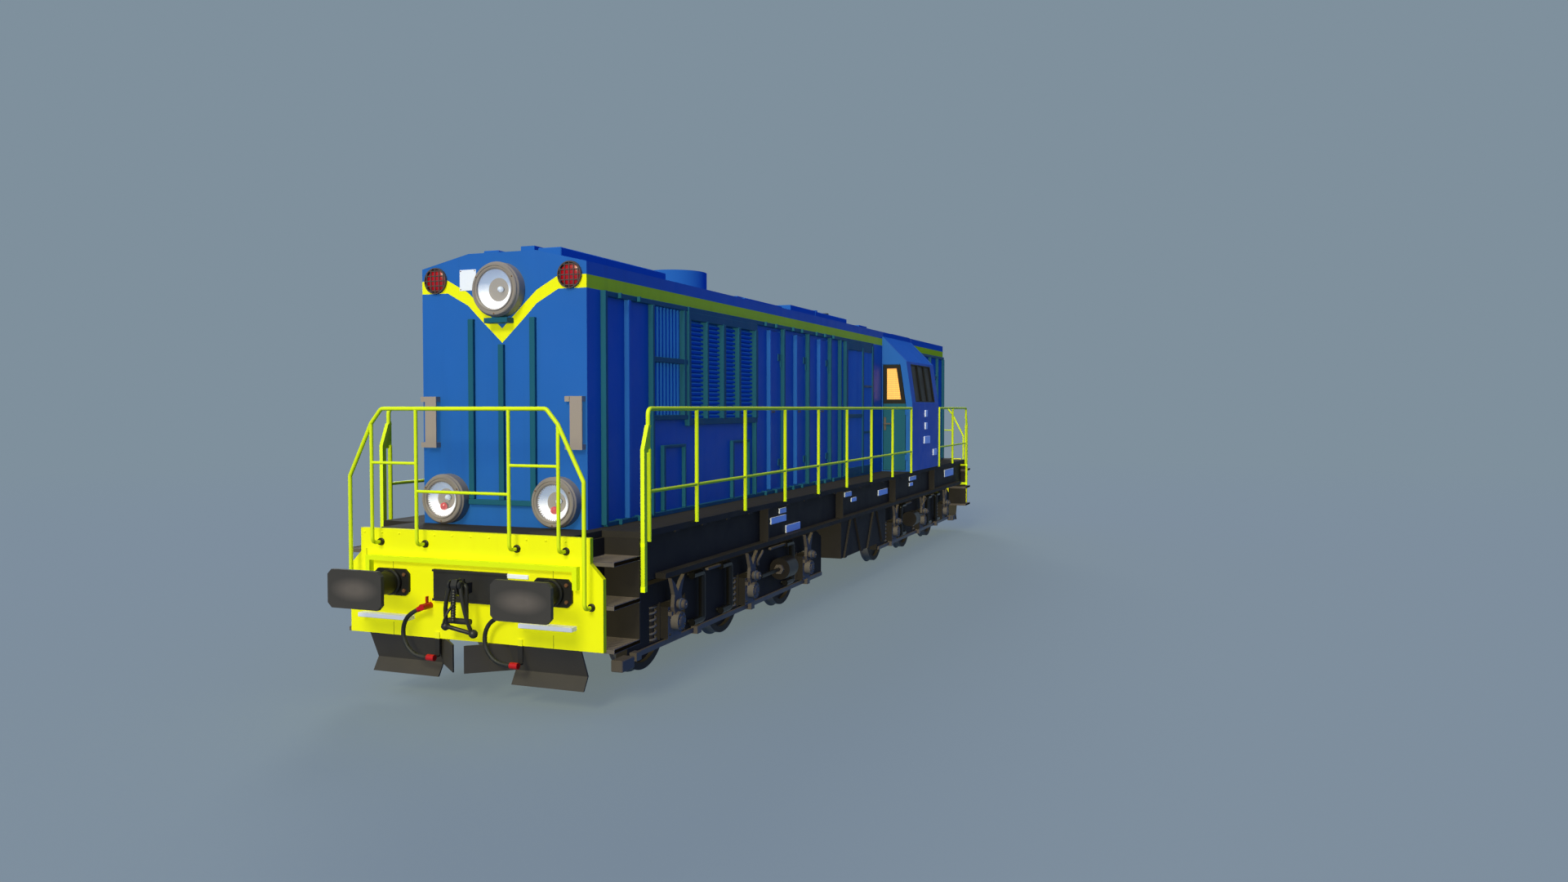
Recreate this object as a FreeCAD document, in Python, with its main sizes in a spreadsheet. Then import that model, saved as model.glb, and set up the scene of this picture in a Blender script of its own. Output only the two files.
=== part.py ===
import FreeCAD, Part
import math
import os
import re

import Sketcher

# Diesel shunting locomotive with two three-axle bogies: a long hood, a cab set back and a short
# rear hood stand on one underframe. Millimetres. +X is the long hood's end, +Y the left side,
# +Z up. Z = 0 is the lowest point of the wheel flanges, in the middle of the locomotive.

document = FreeCAD.newDocument("diesel_locomotive")
sheet = document.addObject("Spreadsheet::Sheet", "sizes")

# alias, value: the driving dimensions
SIZES = [
    # running gear
    ("wheel_dia", 1050), ("flange_depth", 28), ("flange_width", 32), ("back_to_back", 1440),
    ("tyre_width", 140), ("tyre_thick", 75), ("web_thick", 45), ("hub_dia", 260), ("axle_dia", 170),
    ("journal_dia", 130), ("journal_end", 1170), ("journal_gap", 0.1), ("hub_proud", 20),
    ("bogie_inset", 3150), ("axle_pitch", 2000),
    # bogies
    ("frame_plate", 120), ("frame_inner", 1020), ("beam_bottom", 200), ("beam_depth", 220),
    ("frame_end", 2850), ("end_slope", 200), ("leg_gap", 800), ("leg_drop", 430),
    ("transom_place", 1000), ("transom_width", 300), ("transom_depth", 460), ("end_beam", 100),
    ("bolster_half", 400), ("bolster_bottom", 150), ("bolster_top", 480), ("pivot_dia", 250),
    ("pivot_gap", 0.5), ("pivot_depth", 100),
    ("box_width", 300), ("box_height", 320), ("box_depth", 240), ("box_inner", 980),
    ("wing_half", 400), ("wing_thick", 40), ("rod_clear", 5), ("spring_place", 285),
    ("spring_core", 100), ("cap_dia", 190), ("cap_proud", 80), ("bracket_half", 95),
    ("bracket_foot", 75), ("bracket_thick", 40), ("horn_reach", 150), ("horn_top", 455),
    ("horn_notch", 305), ("link_pin_dia", 95), ("link_pin_rise", 175), ("link_pin_proud", 80),
    ("stop_block", 40),
    ("motor_length", 690), ("motor_half", 400), ("motor_low", 260), ("motor_top", 140),
    ("rod_half", 2800), ("rod_height", 50), ("rod_width", 30), ("rod_block", 100),
    ("rod_block_height", 80), ("cylinder_dia", 270), ("cylinder_length", 320), ("push_rod_dia", 50),
    ("push_rod_length", 640), ("nut_size", 130), ("nut_thick", 40), ("loop_dia", 64),
    ("loop_height", 500), ("loop_low", 105), ("loop_arm", 260), ("loop_stand", 60),
    # underframe
    ("frame_length", 14900), ("frame_half", 1450), ("nose_half", 1050), ("nose_length", 540),
    ("headstock_thick", 50), ("sill_rise", 535), ("frame_depth", 500), ("deck_thick", 60),
    ("sill_web", 40), ("sill_inset", 110), ("sill_flange", 120), ("sill_flange_thick", 50),
    ("rib_width", 24), ("rib_start", 4278), ("rib_pitch", 2900),
    ("centre_half", 420), ("centre_rise", 40), ("cross_width", 200), ("cross_rise", 100),
    ("headstock_low", 500), ("headstock_half", 1375), ("headstock_upper", 1247),
    ("shoulder_low", 140), ("shoulder_high", 270),
    ("guard_half", 1145), ("guard_height", 45), ("guard_proud", 60), ("guard_drop", 160),
    ("guard_rise", 200),
    # buffers and draw gear
    ("buffer_length", 510), ("buffer_place", 875), ("buffer_rise", 0), ("head_width", 600),
    ("head_height", 350), ("head_thick", 40), ("head_corner", 45), ("sleeve_dia", 210),
    ("base_width", 400), ("base_height", 250), ("base_thick", 25),
    ("draw_half", 400), ("draw_height", 290), ("draw_thick", 20), ("hook_thick", 60),
    ("link_dia", 36), ("link_drop", 330), ("link_half", 75), ("link_gap", 0.3),
    # ploughs and steps
    ("blade_inner", 400), ("blade_outer", 1150), ("blade_thick", 18), ("blade_height", 250),
    ("blade_lip", 120), ("blade_back", 110), ("wing_inner", 60), ("wing_reach", 300),
    ("step_gap", 5), ("step_length", 480), ("step_inner", 1070), ("step_plate", 20),
    ("tread_thick", 35), ("tread_first", 220), ("tread_pitch", 380),
    # tank
    ("tank_gap", 250), ("tank_half_width", 880), ("tank_depth", 650), ("tank_corner", 180),
    ("battery_gap", 20), ("battery_inset", 90),
    ("battery_depth", 560), ("rib_bar", 90), ("rib_proud", 30),
    # long hood
    ("hood_over", 30), ("hood_half", 920), ("hood_height", 2475), ("roof_rise", 126),
    ("roof_flat", 376), ("panel", 50), ("leaf_thick", 30), ("door_pitch", 1003),
    ("door_setback", 4476), ("leaf_width", 470), ("leaf_bottom", 60), ("leaf_head", 335),
    ("leaf_gap", 8), ("hinge_gap", 6), ("hinge_dia", 24), ("hinge_length", 90), ("hinge_play", 0.3),
    ("hinge_low", 295), ("hinge_proud", 14), ("hinge_foot", 40), ("strap_length", 90),
    ("strap_seat", 4),
    ("louvre_bottom", 1012), ("louvre_head", 382), ("recess_deep", 35),
    ("blind_bottom", 1053), ("blind_head", 296), ("niche_gap", 785), ("niche_length", 1209),
    ("niche_head", 361), ("niche_deep", 20), ("slats", 21), ("slat_lip", 24), ("slat_rise", 42),
    ("fins", 9), ("fin_thick", 19), ("fin_set", 4), ("louvre_sheet", 6),
    # cab
    ("rear_hood_length", 2830), ("cab_length", 2095), ("cab_over", 20), ("belt_height", 1210),
    ("window_height", 740), ("lean", 111), ("cab_eave_drop", 78), ("cab_wall", 60),
    ("window_margin", 40), ("window_inset_front", 305), ("window_inset_rear", 340), ("mullion", 50),
    ("glass_thick", 8), ("door_clear", 25), ("door_corner", 125), ("door_head", 60),
    ("door_thick", 40), ("door_hinge_pitch", 800), ("door_pane_margin", 60),
    ("door_sill", 20), ("door_play", 10),
    ("desk_height", 980), ("desk_depth", 520), ("desk_half", 760), ("seat_setback", 1195),
    ("seat_inset", 620), ("seat_size", 460), ("seat_height", 480), ("seat_back", 620),
    # rails
    ("post_dia", 42), ("rail_dia", 34), ("bar_dia", 28), ("rail_height", 1120),
    ("bar_height", 360), ("post_pitch", 1256), ("post_drop", 100), ("rail_end_inset", 114),
    ("rail_gap", 40), ("rail_toe", 88), ("rail_foot", 52), ("rail_knee", 150), ("rail_heel", 370),
    ("end_bar", 50), ("end_width", 40), ("end_lug", 40), ("gusset_thick", 12), ("foot_inset", 110),
    ("end_rail_reach", 120),
    ("end_rail_half", 1260), ("end_rail_shoulder", 1006), ("end_rail_top", 889), ("end_post", 500),
    ("hook_drop", 130), ("handle_side", 812), ("handle_rise", 742), ("handle_length", 494),
    ("handle_foot", 50), ("handle_proud", 55), ("handle_thick", 12), ("handle_width", 130),
    ("handle_reach", 108), ("handle_shift", 70),
    # lamps, roof and inside
    ("lamp_dia", 520), ("lamp_depth", 120), ("lamp_rim", 65), ("lamp_dish", 70), ("lamp_drop", 235),
    ("low_lamp_dia", 480), ("low_lamp_rise", 250), ("low_lamp_inset", 300),
    ("fan_setback", 3650), ("cowl_dia", 808), ("cowl_wall", 30), ("cowl_height", 215),
    ("fan_gap", 12), ("fan_hub_dia", 160), ("fan_hub_height", 90), ("fan_blade_thick", 8),
    ("spider_height", 30), ("duct_length", 2230), ("hatch_setback", 2930),
    ("hatch_length", 1700), ("silencer_setback", 1855), ("silencer_length", 1150),
    ("exhaust_setback", 1505), ("exhaust_dia", 130), ("engine_setback", 4180),
    ("engine_length", 4800), ("engine_half", 550), ("engine_height", 1500),
    # hoses
    ("hose_dia", 40), ("hose_side", 450), ("cock_drop", 197), ("cock_reach", 100), ("cock_dia", 60),
    ("nozzle_dia", 50), ("nozzle_length", 66), ("nozzle_fall", 25), ("head_dia", 60),
    ("head_length", 80), ("hose_run", 100), ("hanger_width", 50), ("hanger_thick", 12),
    ("hanger_rise", 60),
]

# name, what it is worked out from
DERIVED = {
    "axle_z": "flange_depth + wheel_dia / 2",
    "sill_z": "axle_z + sill_rise",
    "deck_z": "sill_z + frame_depth",
    "deck_under": "deck_z - deck_thick",
    "centre_z": "sill_z + centre_rise",
    "eave_z": "deck_z + hood_height",
    "crown_z": "eave_z + roof_rise",
    "belt_z": "deck_z + belt_height",
    "cornice_z": "belt_z + window_height",
    "cab_eave_z": "eave_z - cab_eave_drop",
    "cornice_half": "cab_half - lean",
    "beam_z": "axle_z + beam_bottom",
    "beam_top": "beam_z + beam_depth",
    "box_base": "axle_z - box_height / 2",
    "frame_x": "frame_length / 2",
    "bogie_centre": "frame_x - bogie_inset",
    "headstock_face": "frame_x + nose_length",
    "buffer_face": "headstock_face + buffer_length",
    "hood_front": "frame_x + hood_over",
    "cab_rear": "rear_hood_length - hood_front",
    "cab_front": "cab_rear + cab_length",
    "cab_half": "frame_half + cab_over",
    "rail_place": "frame_half + post_dia / 2",
    "handle_low": "deck_z + handle_rise",
    "rail_end": "frame_x - rail_end_inset",
    "step_back": "frame_x + step_gap",
    "tank_half": "bogie_centre - frame_end - tank_gap",
    "battery_inner": "tank_half_width + battery_gap",
    "battery_outer": "frame_half - battery_inset",
    "door_first": "hood_front - door_setback",
    "door_inner": "hood_half + door_clear",
    "door_outer": "cab_half - door_corner",
    "seat_place": "cab_front - seat_setback",
    "seat_side": "cab_half - seat_inset",
    "low_lamp_side": "hood_half - low_lamp_inset",
    "fan_place": "hood_front - fan_setback",
    "engine_rear": "hood_front - engine_setback - engine_length",
    "foot_z": "sill_z - headstock_low",
    "buffer_z": "sill_z + buffer_rise",
    "leaf_z": "deck_z + leaf_bottom",
    "leaf_height": "hood_height - leaf_bottom - leaf_head",
    "hinge_pitch": "leaf_height - 2 * hinge_low - hinge_length",
    "louvre_height": "hood_height - louvre_bottom - louvre_head",
    "blind_height": "hood_height - blind_bottom - blind_head",
    "niche_height": "hood_height - niche_head",
    "rail_z": "deck_z + rail_height",
    "bar_z": "deck_z + bar_height",
    "hinge_y": "hood_half + hinge_proud",
    "hinge_x": "cab_front + hinge_proud",
    "frame_outer": "frame_inner + frame_plate",
    "box_face": "box_inner + box_depth",
    "rod_z": "beam_z - leg_drop",
    "cock_z": "sill_z - cock_drop",
    "cock_x": "headstock_face + cock_reach",
    "cab_middle": "(cab_front + cab_rear) / 2",
    "end_rail_x": "headstock_face + end_rail_reach",
}

VALUES = dict(SIZES)
NODES = []


def expand(text):
    """Bind every word of a formula to its cell, through the derived names."""
    def swap(match):
        word = match.group(0)
        if word in DERIVED:
            return "(" + expand(DERIVED[word]) + ")"
        return "sizes." + word if word in VALUES else word
    return re.sub(r"[A-Za-z_][A-Za-z_0-9]*", swap, str(text))


def number(text):
    """The present value of a formula."""
    return float(sheet.evalExpression(expand(text)))


def drive(thing, **formulas):
    """Bind properties to formulas: x, y and z are the placement's base."""
    bases = {"x": "Placement.Base.x", "y": "Placement.Base.y", "z": "Placement.Base.z"}
    for name, formula in formulas.items():
        thing.setExpression(bases.get(name, name), expand(formula))
    return thing


def fill_sheet():
    for row, (alias, value) in enumerate(SIZES, start=1):
        sheet.set("A%d" % row, alias)
        sheet.set("B%d" % row, str(value))
        sheet.setAlias("B%d" % row, alias)
    document.recompute()


def box(name, x, y, z, length, width, height):
    """Block from its lowest corner."""
    block = document.addObject("Part::Box", name)
    return drive(block, x=x, y=y, z=z, Length=length, Width=width, Height=height)


TURNS = {
    "x": FreeCAD.Rotation(FreeCAD.Vector(0, 1, 0), 90),
    "y": FreeCAD.Rotation(FreeCAD.Vector(1, 0, 0), -90),
    "z": FreeCAD.Rotation(),
}


def rod(name, x, y, z, diameter, length, axis="z"):
    """Cylinder that starts at a point and runs along an axis."""
    bar = document.addObject("Part::Cylinder", name)
    bar.Placement.Rotation = TURNS[axis]
    return drive(bar, x=x, y=y, z=z, Radius="(%s) / 2" % diameter, Height=length)


def plane_of(body, role):
    return next(o for o in body.Origin.OriginFeatures if o.Role == role)


def outline(body, role, corners, level="0"):
    """Closed sketch of straight sides, each corner driven by two formulas."""
    sketch = body.newObject("Sketcher::SketchObject", "outline")
    sketch.AttachmentSupport = (plane_of(body, role), [""])
    sketch.MapMode = "FlatFace"
    sketch.setExpression("AttachmentOffset.Base.z", expand(level))
    points = [FreeCAD.Vector(number(a), number(b), 0) for a, b in corners]
    count = len(points)
    sides = [Part.LineSegment(points[i], points[(i + 1) % count]) for i in range(count)]
    sketch.addGeometry(sides, False)
    ties = [Sketcher.Constraint("Coincident", i, 2, (i + 1) % count, 1) for i in range(count)]
    for i, point in enumerate(points):
        ties.append(Sketcher.Constraint("DistanceX", -1, 1, i, 1, point.x))
        ties.append(Sketcher.Constraint("DistanceY", -1, 1, i, 1, point.y))
    sketch.addConstraint(ties)
    for i, (a, b) in enumerate(corners):
        sketch.setExpression("Constraints[%d]" % (count + 2 * i), expand(a))
        sketch.setExpression("Constraints[%d]" % (count + 2 * i + 1), expand(b))
    return sketch


def prism(name, role, corners, start, depth):
    """Body padded from an outline: along X from YZ_Plane, Y from XZ_Plane, Z from XY_Plane."""
    body = document.addObject("PartDesign::Body", name)
    across = role == "XZ_Plane"
    level = "-(%s)" % start if across else start
    pad = body.newObject("PartDesign::Pad", "pad")
    pad.Profile = outline(body, role, corners, level)
    pad.Reversed = across
    pad.setExpression("Length", expand(depth))
    return body


def turned(name, corners, x, y, z):
    """Body revolved about the Y axis: each corner is a radius and a place along Y."""
    body = document.addObject("PartDesign::Body", name)
    sketch = outline(body, "XY_Plane", corners)
    spin = body.newObject("PartDesign::Revolution", "spin")
    spin.Profile = sketch
    spin.ReferenceAxis = (sketch, ["V_Axis"])
    spin.Angle = 360
    return drive(body, x=x, y=y, z=z)


def mirrored(name, source, normal=(0, 1, 0)):
    glass = document.addObject("Part::Mirroring", name)
    glass.Source = source
    glass.Normal = FreeCAD.Vector(*normal)
    return glass


def group(name, pieces):
    """Pieces that share one node without touching."""
    bundle = document.addObject("Part::Compound", name)
    bundle.Links = pieces
    return bundle


def fused(name, pieces):
    joint = document.addObject("Part::MultiFuse", name)
    joint.Shapes = pieces
    joint.Refine = True
    return joint


def cut(name, base, tools):
    hollow = document.addObject("Part::Cut", name)
    hollow.Base = base
    hollow.Tool = tools[0] if len(tools) == 1 else group(name + "_tools", tools)
    return hollow


def copied(name, source, x="0", y="0", z="0", turn=0):
    """The same piece again, shifted, and turned about the vertical through the origin."""
    again = group(name, [source])
    again.Placement.Rotation = FreeCAD.Rotation(FreeCAD.Vector(0, 0, 1), turn)
    return drive(again, x=x, y=y, z=z)


def both_sides(name, piece):
    return group(name, [piece, mirrored(name + "_right", piece)])


def both_ends(name, piece):
    """A piece at the front and the same one turned half round at the rear."""
    return group(name, [piece, copied(name + "_rear", piece, turn=180)])


def node(name, thing):
    """Register a finished sub-part: its label names its file."""
    thing.Label = name
    NODES.append(thing)
    return thing


def bend_radii(points):
    """Largest bend that fits each corner: 0.45 of the shorter run over tan of half the turn."""
    radii = []
    for before, corner, after in zip(points, points[1:], points[2:]):
        first, second = corner - before, after - corner
        turn = first.getAngle(second)
        radii.append(0.45 * min(first.Length, second.Length) / math.tan(turn / 2))
    return radii


def bent_wire(points, radii):
    """Straight runs joined by tangent arcs."""
    edges = []
    start = points[0]
    for i, radius in enumerate(radii, start=1):
        corner = points[i]
        back = (points[i - 1] - corner).normalize()
        ahead = (points[i + 1] - corner).normalize()
        half = (math.pi - back.getAngle(ahead)) / 2
        reach = radius * math.tan(half)
        first, last = corner + back * reach, corner + ahead * reach
        middle = (back + ahead).normalize()
        top = corner + middle * (radius / math.cos(half) - radius)
        edges.append(Part.LineSegment(start, first).toShape())
        edges.append(Part.Arc(first, top, last).toShape())
        start = last
    edges.append(Part.LineSegment(start, points[-1]).toShape())
    return Part.Wire(edges)


def tube_shape(points, radii, diameter):
    """Round bar along a bent path."""
    path = bent_wire(points, radii)
    ahead = points[1] - points[0]
    ring = Part.Wire(Part.makeCircle(diameter / 2, points[0], ahead))
    return path.makePipeShell([ring], True, True)


def tube(name, corners, bend, diameter):
    """Rail of round bar through corners given by formulas, every bend of one radius."""
    points = [FreeCAD.Vector(*(number(part) for part in corner)) for corner in corners]
    rail = document.addObject("Part::Feature", name)
    rail.Shape = tube_shape(points, [number(bend)] * (len(points) - 2), number(diameter))
    return rail


# ---------------------------------------------------------------- running gear
def make_wheelset():
    """Axle, two wheels and journals turned as one."""
    inner = "back_to_back / 2"
    outer = inner + " + tyre_width"
    middle = inner + " + tyre_width / 2"
    half = [
        ("axle_dia / 2", "0"),
        ("axle_dia / 2", inner + " - hub_proud"),
        ("hub_dia / 2", inner + " - hub_proud"),
        ("hub_dia / 2", middle + " - web_thick / 2"),
        ("wheel_dia / 2 - tyre_thick", middle + " - web_thick / 2"),
        ("wheel_dia / 2 - tyre_thick", inner),
        ("wheel_dia / 2 + flange_depth * 0.6", inner),
        ("wheel_dia / 2 + flange_depth", inner + " + flange_width * 0.35"),
        ("wheel_dia / 2 + flange_depth", inner + " + flange_width * 0.55"),
        ("wheel_dia / 2", inner + " + flange_width"),
        ("wheel_dia / 2", outer),
        ("wheel_dia / 2 - tyre_thick", outer),
        ("wheel_dia / 2 - tyre_thick", middle + " + web_thick / 2"),
        ("hub_dia / 2", middle + " + web_thick / 2"),
        ("hub_dia / 2", outer + " + hub_proud"),
        ("journal_dia / 2", outer + " + hub_proud"),
        ("journal_dia / 2", "journal_end"),
        ("0", "journal_end"),
    ]
    other = [(radius, "-(%s)" % place) for radius, place in reversed(half) if place != "0"]
    return turned("wheelset", half + other, "0", "0", "axle_z")


def make_wheelsets(wheelset):
    """number, bogie's sign, axle's sign along X"""
    table = [(1, 1, 1), (2, 1, 0), (3, 1, -1), (4, -1, 1), (5, -1, 0), (6, -1, -1)]
    for number_, bogie, axle in table:
        place = "%d * bogie_centre + %d * axle_pitch" % (bogie, axle)
        node("wheelset_%d" % number_, copied("wheelset_copy", wheelset, x=place))


def side_plate():
    """Bogie side: a beam over the axleboxes with legs between them."""
    corners = [("-frame_end", "beam_top - 0.5 * end_slope"), ("-frame_end + end_slope", "beam_top"),
               ("frame_end - end_slope", "beam_top"), ("frame_end", "beam_top - 0.5 * end_slope")]
    foot = "beam_z - leg_drop"
    corners.append(("frame_end", foot))
    for axle in (1, 0, -1):
        centre = "%d * axle_pitch" % axle
        corners += [(centre + " + leg_gap / 2", foot), (centre + " + leg_gap / 2", "beam_z"),
                    (centre + " - leg_gap / 2", "beam_z"), (centre + " - leg_gap / 2", foot)]
    corners.append(("-frame_end", foot))
    return prism("side_plate", "XZ_Plane", corners, "frame_inner", "frame_plate")


def make_bogie_frame():
    plate = side_plate()
    cross = "2 * frame_inner"
    pieces = [plate, mirrored("side_plate_right", plate)]
    for sign in (-1, 1):
        pieces.append(box("transom", "%d * transom_place - transom_width / 2" % sign, "-frame_inner",
                          "beam_top - transom_depth", "transom_width", cross, "transom_depth"))
        end = "%d * (frame_end - end_beam / 2) - end_beam / 2" % sign
        pieces.append(box("end_beam", end, "-frame_inner", "beam_z", "end_beam", cross,
                          "beam_depth / 2"))
    pieces.append(box("bolster", "-transom_place", "-bolster_half", "axle_z + bolster_bottom",
                      "2 * transom_place", "2 * bolster_half", "bolster_top - bolster_bottom"))
    solid = fused("bogie_frame_solid", pieces)
    bore = rod("pivot_bore", "0", "0", "axle_z + bolster_top - pivot_depth",
               "pivot_dia + 2 * pivot_gap", "2 * pivot_depth")
    return cut("bogie_frame", solid, [bore])


def make_bracket():
    """Two-horned bracket on the axlebox's face, with the pin of its guide link."""
    right = [("0.6 * bracket_half", "bracket_foot"), ("bracket_half", "link_pin_rise - 20"),
             ("0.8 * bracket_half", "link_pin_rise + 100"), ("horn_reach", "horn_top"),
             ("0.45 * horn_reach", "horn_top - 60")]
    corners = right + [("0", "horn_notch")] + [("-" + a, b) for a, b in reversed(right)]
    plate = prism("bracket", "XZ_Plane", [(a, "axle_z + " + b) for a, b in corners], "box_face",
                  "bracket_thick")
    pin = rod("link_pin", "0", "box_face", "axle_z + link_pin_rise", "link_pin_dia",
              "bracket_thick + link_pin_proud", "y")
    stop = box("stop", "box_width / 2 - stop_block", "box_face", "axle_z + bracket_foot",
               "stop_block", "stop_block", "stop_block")
    return [plate, pin, stop]


def make_axlebox():
    """Box with its end cap, spring seats and the springs' cores, bored for the journal."""
    pieces = [
        box("box_shell", "-box_width / 2", "box_inner", "box_base", "box_width", "box_depth",
            "box_height"),
        box("spring_seat", "-wing_half", "frame_inner", "box_base - wing_thick", "2 * wing_half",
            "frame_plate - rod_clear", "wing_thick"),
        rod("cap", "0", "box_face", "axle_z", "cap_dia", "cap_proud", "y"),
    ]
    for sign in (-1, 1):
        pieces.append(rod("spring_core", "%d * spring_place" % sign, "frame_inner + frame_plate / 2",
                          "box_base", "spring_core", "beam_z - box_base"))
    solid = fused("axlebox_solid", pieces + make_bracket())
    bore = rod("journal_bore", "0", "box_inner - 10", "axle_z", "journal_dia + 2 * journal_gap",
               "journal_end - box_inner + 10 + journal_gap", "y")
    left = cut("axlebox", solid, [bore])
    return group("axlebox_pair", [left, mirrored("axlebox_right", left)])


def make_motor():
    """Traction motor between a transom and its axle."""
    top, low, half = "motor_top", "-motor_low", "motor_length"
    corners = [("0", low + " + 60"), ("60", low), (half + " - 60", low), (half, low + " + 60"),
               (half, top + " - 80"), (half + " - 80", top), ("0", top)]
    return prism("motor", "XZ_Plane", [(a, "axle_z + " + b) for a, b in corners], "-motor_half",
                 "2 * motor_half")


# places along the bogie from its pivot: blocks on the pull rod, and the upright of each safety loop
ROD_BLOCKS = [2750, 1400, -100, -2100]
LOOPS = [1300, 560, -1480]


def make_pull_rod():
    """Pull rod along the legs' feet, with the blocks that its levers bear on."""
    pieces = [box("pull_rod", "-rod_half", "frame_outer", "rod_z", "2 * rod_half", "rod_width",
                  "rod_height")]
    for place in ROD_BLOCKS:
        pieces.append(box("rod_block", "%d - rod_block / 2" % place, "frame_outer", "rod_z - 15",
                          "rod_block", "2.5 * rod_width", "rod_block_height"))
    return fused("pull_rod_blocks", pieces)


def make_brake_cylinder():
    """Cylinder on the frame plate, its nut and the push rod towards the middle axle."""
    x, y, z = "-transom_place - cylinder_length / 2", "frame_outer + cylinder_dia / 2", "beam_z - 65"
    corners = []
    for k in range(6):
        corners.append(("%s + nut_size / 2 * cos(%d deg)" % (y, 60 * k),
                        "%s + nut_size / 2 * sin(%d deg)" % (z, 60 * k)))
    head = x + " + cylinder_length"
    return fused("brake_cylinder", [
        rod("cylinder", x, y, z, "cylinder_dia", "cylinder_length", "x"),
        prism("nut", "YZ_Plane", corners, head, "nut_thick"),
        rod("push_rod", head, y, z, "push_rod_dia", "push_rod_length", "x")])


def make_loops():
    """Bars bent to a C round the brake levers, both arms turned in to the frame plate."""
    pieces = []
    low, out = "axle_z - loop_low", "frame_outer + loop_stand"
    high = low + " + loop_height"
    for place in LOOPS:
        arm = "%d + loop_arm" % place
        bar = tube("loop_bar", [(arm, out, low), (str(place), out, low), (str(place), out, high),
                                (arm, out, high)], "loop_dia", "loop_dia")
        feet = [rod("loop_foot", arm + " - 0.6 * loop_dia", "frame_outer", z, "0.8 * loop_dia",
                    "loop_stand", "y") for z in (low, high)]
        pieces.append(fused("loop", [bar] + feet))
    return pieces


def make_brake_gear():
    pieces = [make_pull_rod(), make_brake_cylinder()] + make_loops()
    return both_sides("brake_gear", group("brake_gear_left", pieces))


def make_bogies():
    frame, axlebox, motor = make_bogie_frame(), make_axlebox(), make_motor()
    brakes = make_brake_gear()
    boxes = group("axleboxes", [copied("axlebox_place", axlebox, x="%d * axle_pitch" % axle)
                                for axle in (1, 0, -1)])
    inner = "transom_place + transom_width / 2"
    motors = group("motors", [
        copied("motor_outer", motor, x=inner),
        copied("motor_middle", motor, x="transom_place - transom_width / 2 - motor_length"),
        copied("motor_rear", motor, x="-(%s)" % inner, turn=180),
    ])
    for end, sign in (("front", 1), ("rear", -1)):
        place = "%d * bogie_centre" % sign
        turn = 0 if sign > 0 else 180
        for name, thing in (("bogie_frame", frame), ("axleboxes", boxes),
                            ("traction_motors", motors), ("brake_gear", brakes)):
            node("%s_%s" % (name, end), copied(name + "_copy", thing, x=place, turn=turn))


# ---------------------------------------------------------------- underframe
def make_deck():
    corners = [("frame_x", "frame_half"), ("frame_x", "nose_half"),
               ("headstock_face - headstock_thick", "nose_half")]
    front = corners + [(a, "-(%s)" % b) for a, b in reversed(corners)]
    rear = [("-(%s)" % a, b) for a, b in reversed(front)]
    node("deck", prism("deck_plate", "XY_Plane", front + rear, "deck_under", "deck_thick"))


def make_side_sills():
    """Channel with its flange at the foot and stiffening ribs on the outside."""
    outside = "frame_half - sill_inset"
    web = box("sill_web", "-frame_x", outside + " - sill_web", "sill_z", "frame_length", "sill_web",
              "deck_under - sill_z")
    flange = box("sill_flange", "-frame_x + 500", "frame_half - sill_flange", "sill_z",
                 "frame_length - 1000", "sill_flange", "sill_flange_thick")
    pieces = [web, flange]
    for i in range(4):
        pieces.append(box("sill_rib", "rib_start - %d * rib_pitch - rib_width / 2" % i,
                          outside + " - 10", "sill_z", "rib_width", "sill_inset + 10",
                          "deck_under - sill_z"))
    node("side_sills", both_sides("sills", fused("sill", pieces)))


def make_centre_sill():
    """Box beam with cross-beams out to the side sills and a pivot pin over each bogie."""
    reach = "headstock_face - headstock_thick"
    pieces = [box("centre_beam", "-(%s)" % reach, "-centre_half", "centre_z", "2 * (%s)" % reach,
                  "2 * centre_half", "deck_under - centre_z")]
    side = "frame_half - sill_inset - sill_web"
    places = ["frame_x - 250", "bogie_centre + axle_pitch / 2", "bogie_centre - axle_pitch / 2", "1200"]
    for place in places:
        for sign in (-1, 1):
            pieces.append(box("cross_beam", "%d * (%s) - cross_width / 2" % (sign, place),
                              "-(%s)" % side, "sill_z + cross_rise", "cross_width",
                              "2 * (%s)" % side, "deck_under - sill_z - cross_rise"))
    depth = "centre_z - axle_z - bolster_top + pivot_depth - 10"
    for sign in (-1, 1):
        pieces.append(rod("pivot_pin", "%d * bogie_centre" % sign, "0", "centre_z - (%s)" % depth,
                          "pivot_dia", depth + " + 50"))
    node("centre_sill", fused("centre", pieces))


def make_headstocks():
    right = [("headstock_half", "foot_z"), ("headstock_half", "sill_z + shoulder_low"),
             ("headstock_upper", "sill_z + shoulder_high"), ("headstock_upper", "deck_z - 5")]
    corners = right + [("-" + a, b) for a, b in reversed(right)]
    plate = prism("headstock", "YZ_Plane", corners, "headstock_face - headstock_thick",
                  "headstock_thick")
    top = "sill_z + guard_rise"
    guard = [box("guard_bar", "headstock_face", "-guard_half", top, "guard_proud",
                 "2 * guard_half", "guard_height")]
    for side in ("-guard_half", "guard_half - guard_height"):
        guard.append(box("guard_leg", "headstock_face", side, top + " - guard_drop", "guard_proud",
                         "guard_height", "guard_drop"))
    node("headstocks", both_ends("headstock_pair", fused("headstock_front", [plate] + guard)))


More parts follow.
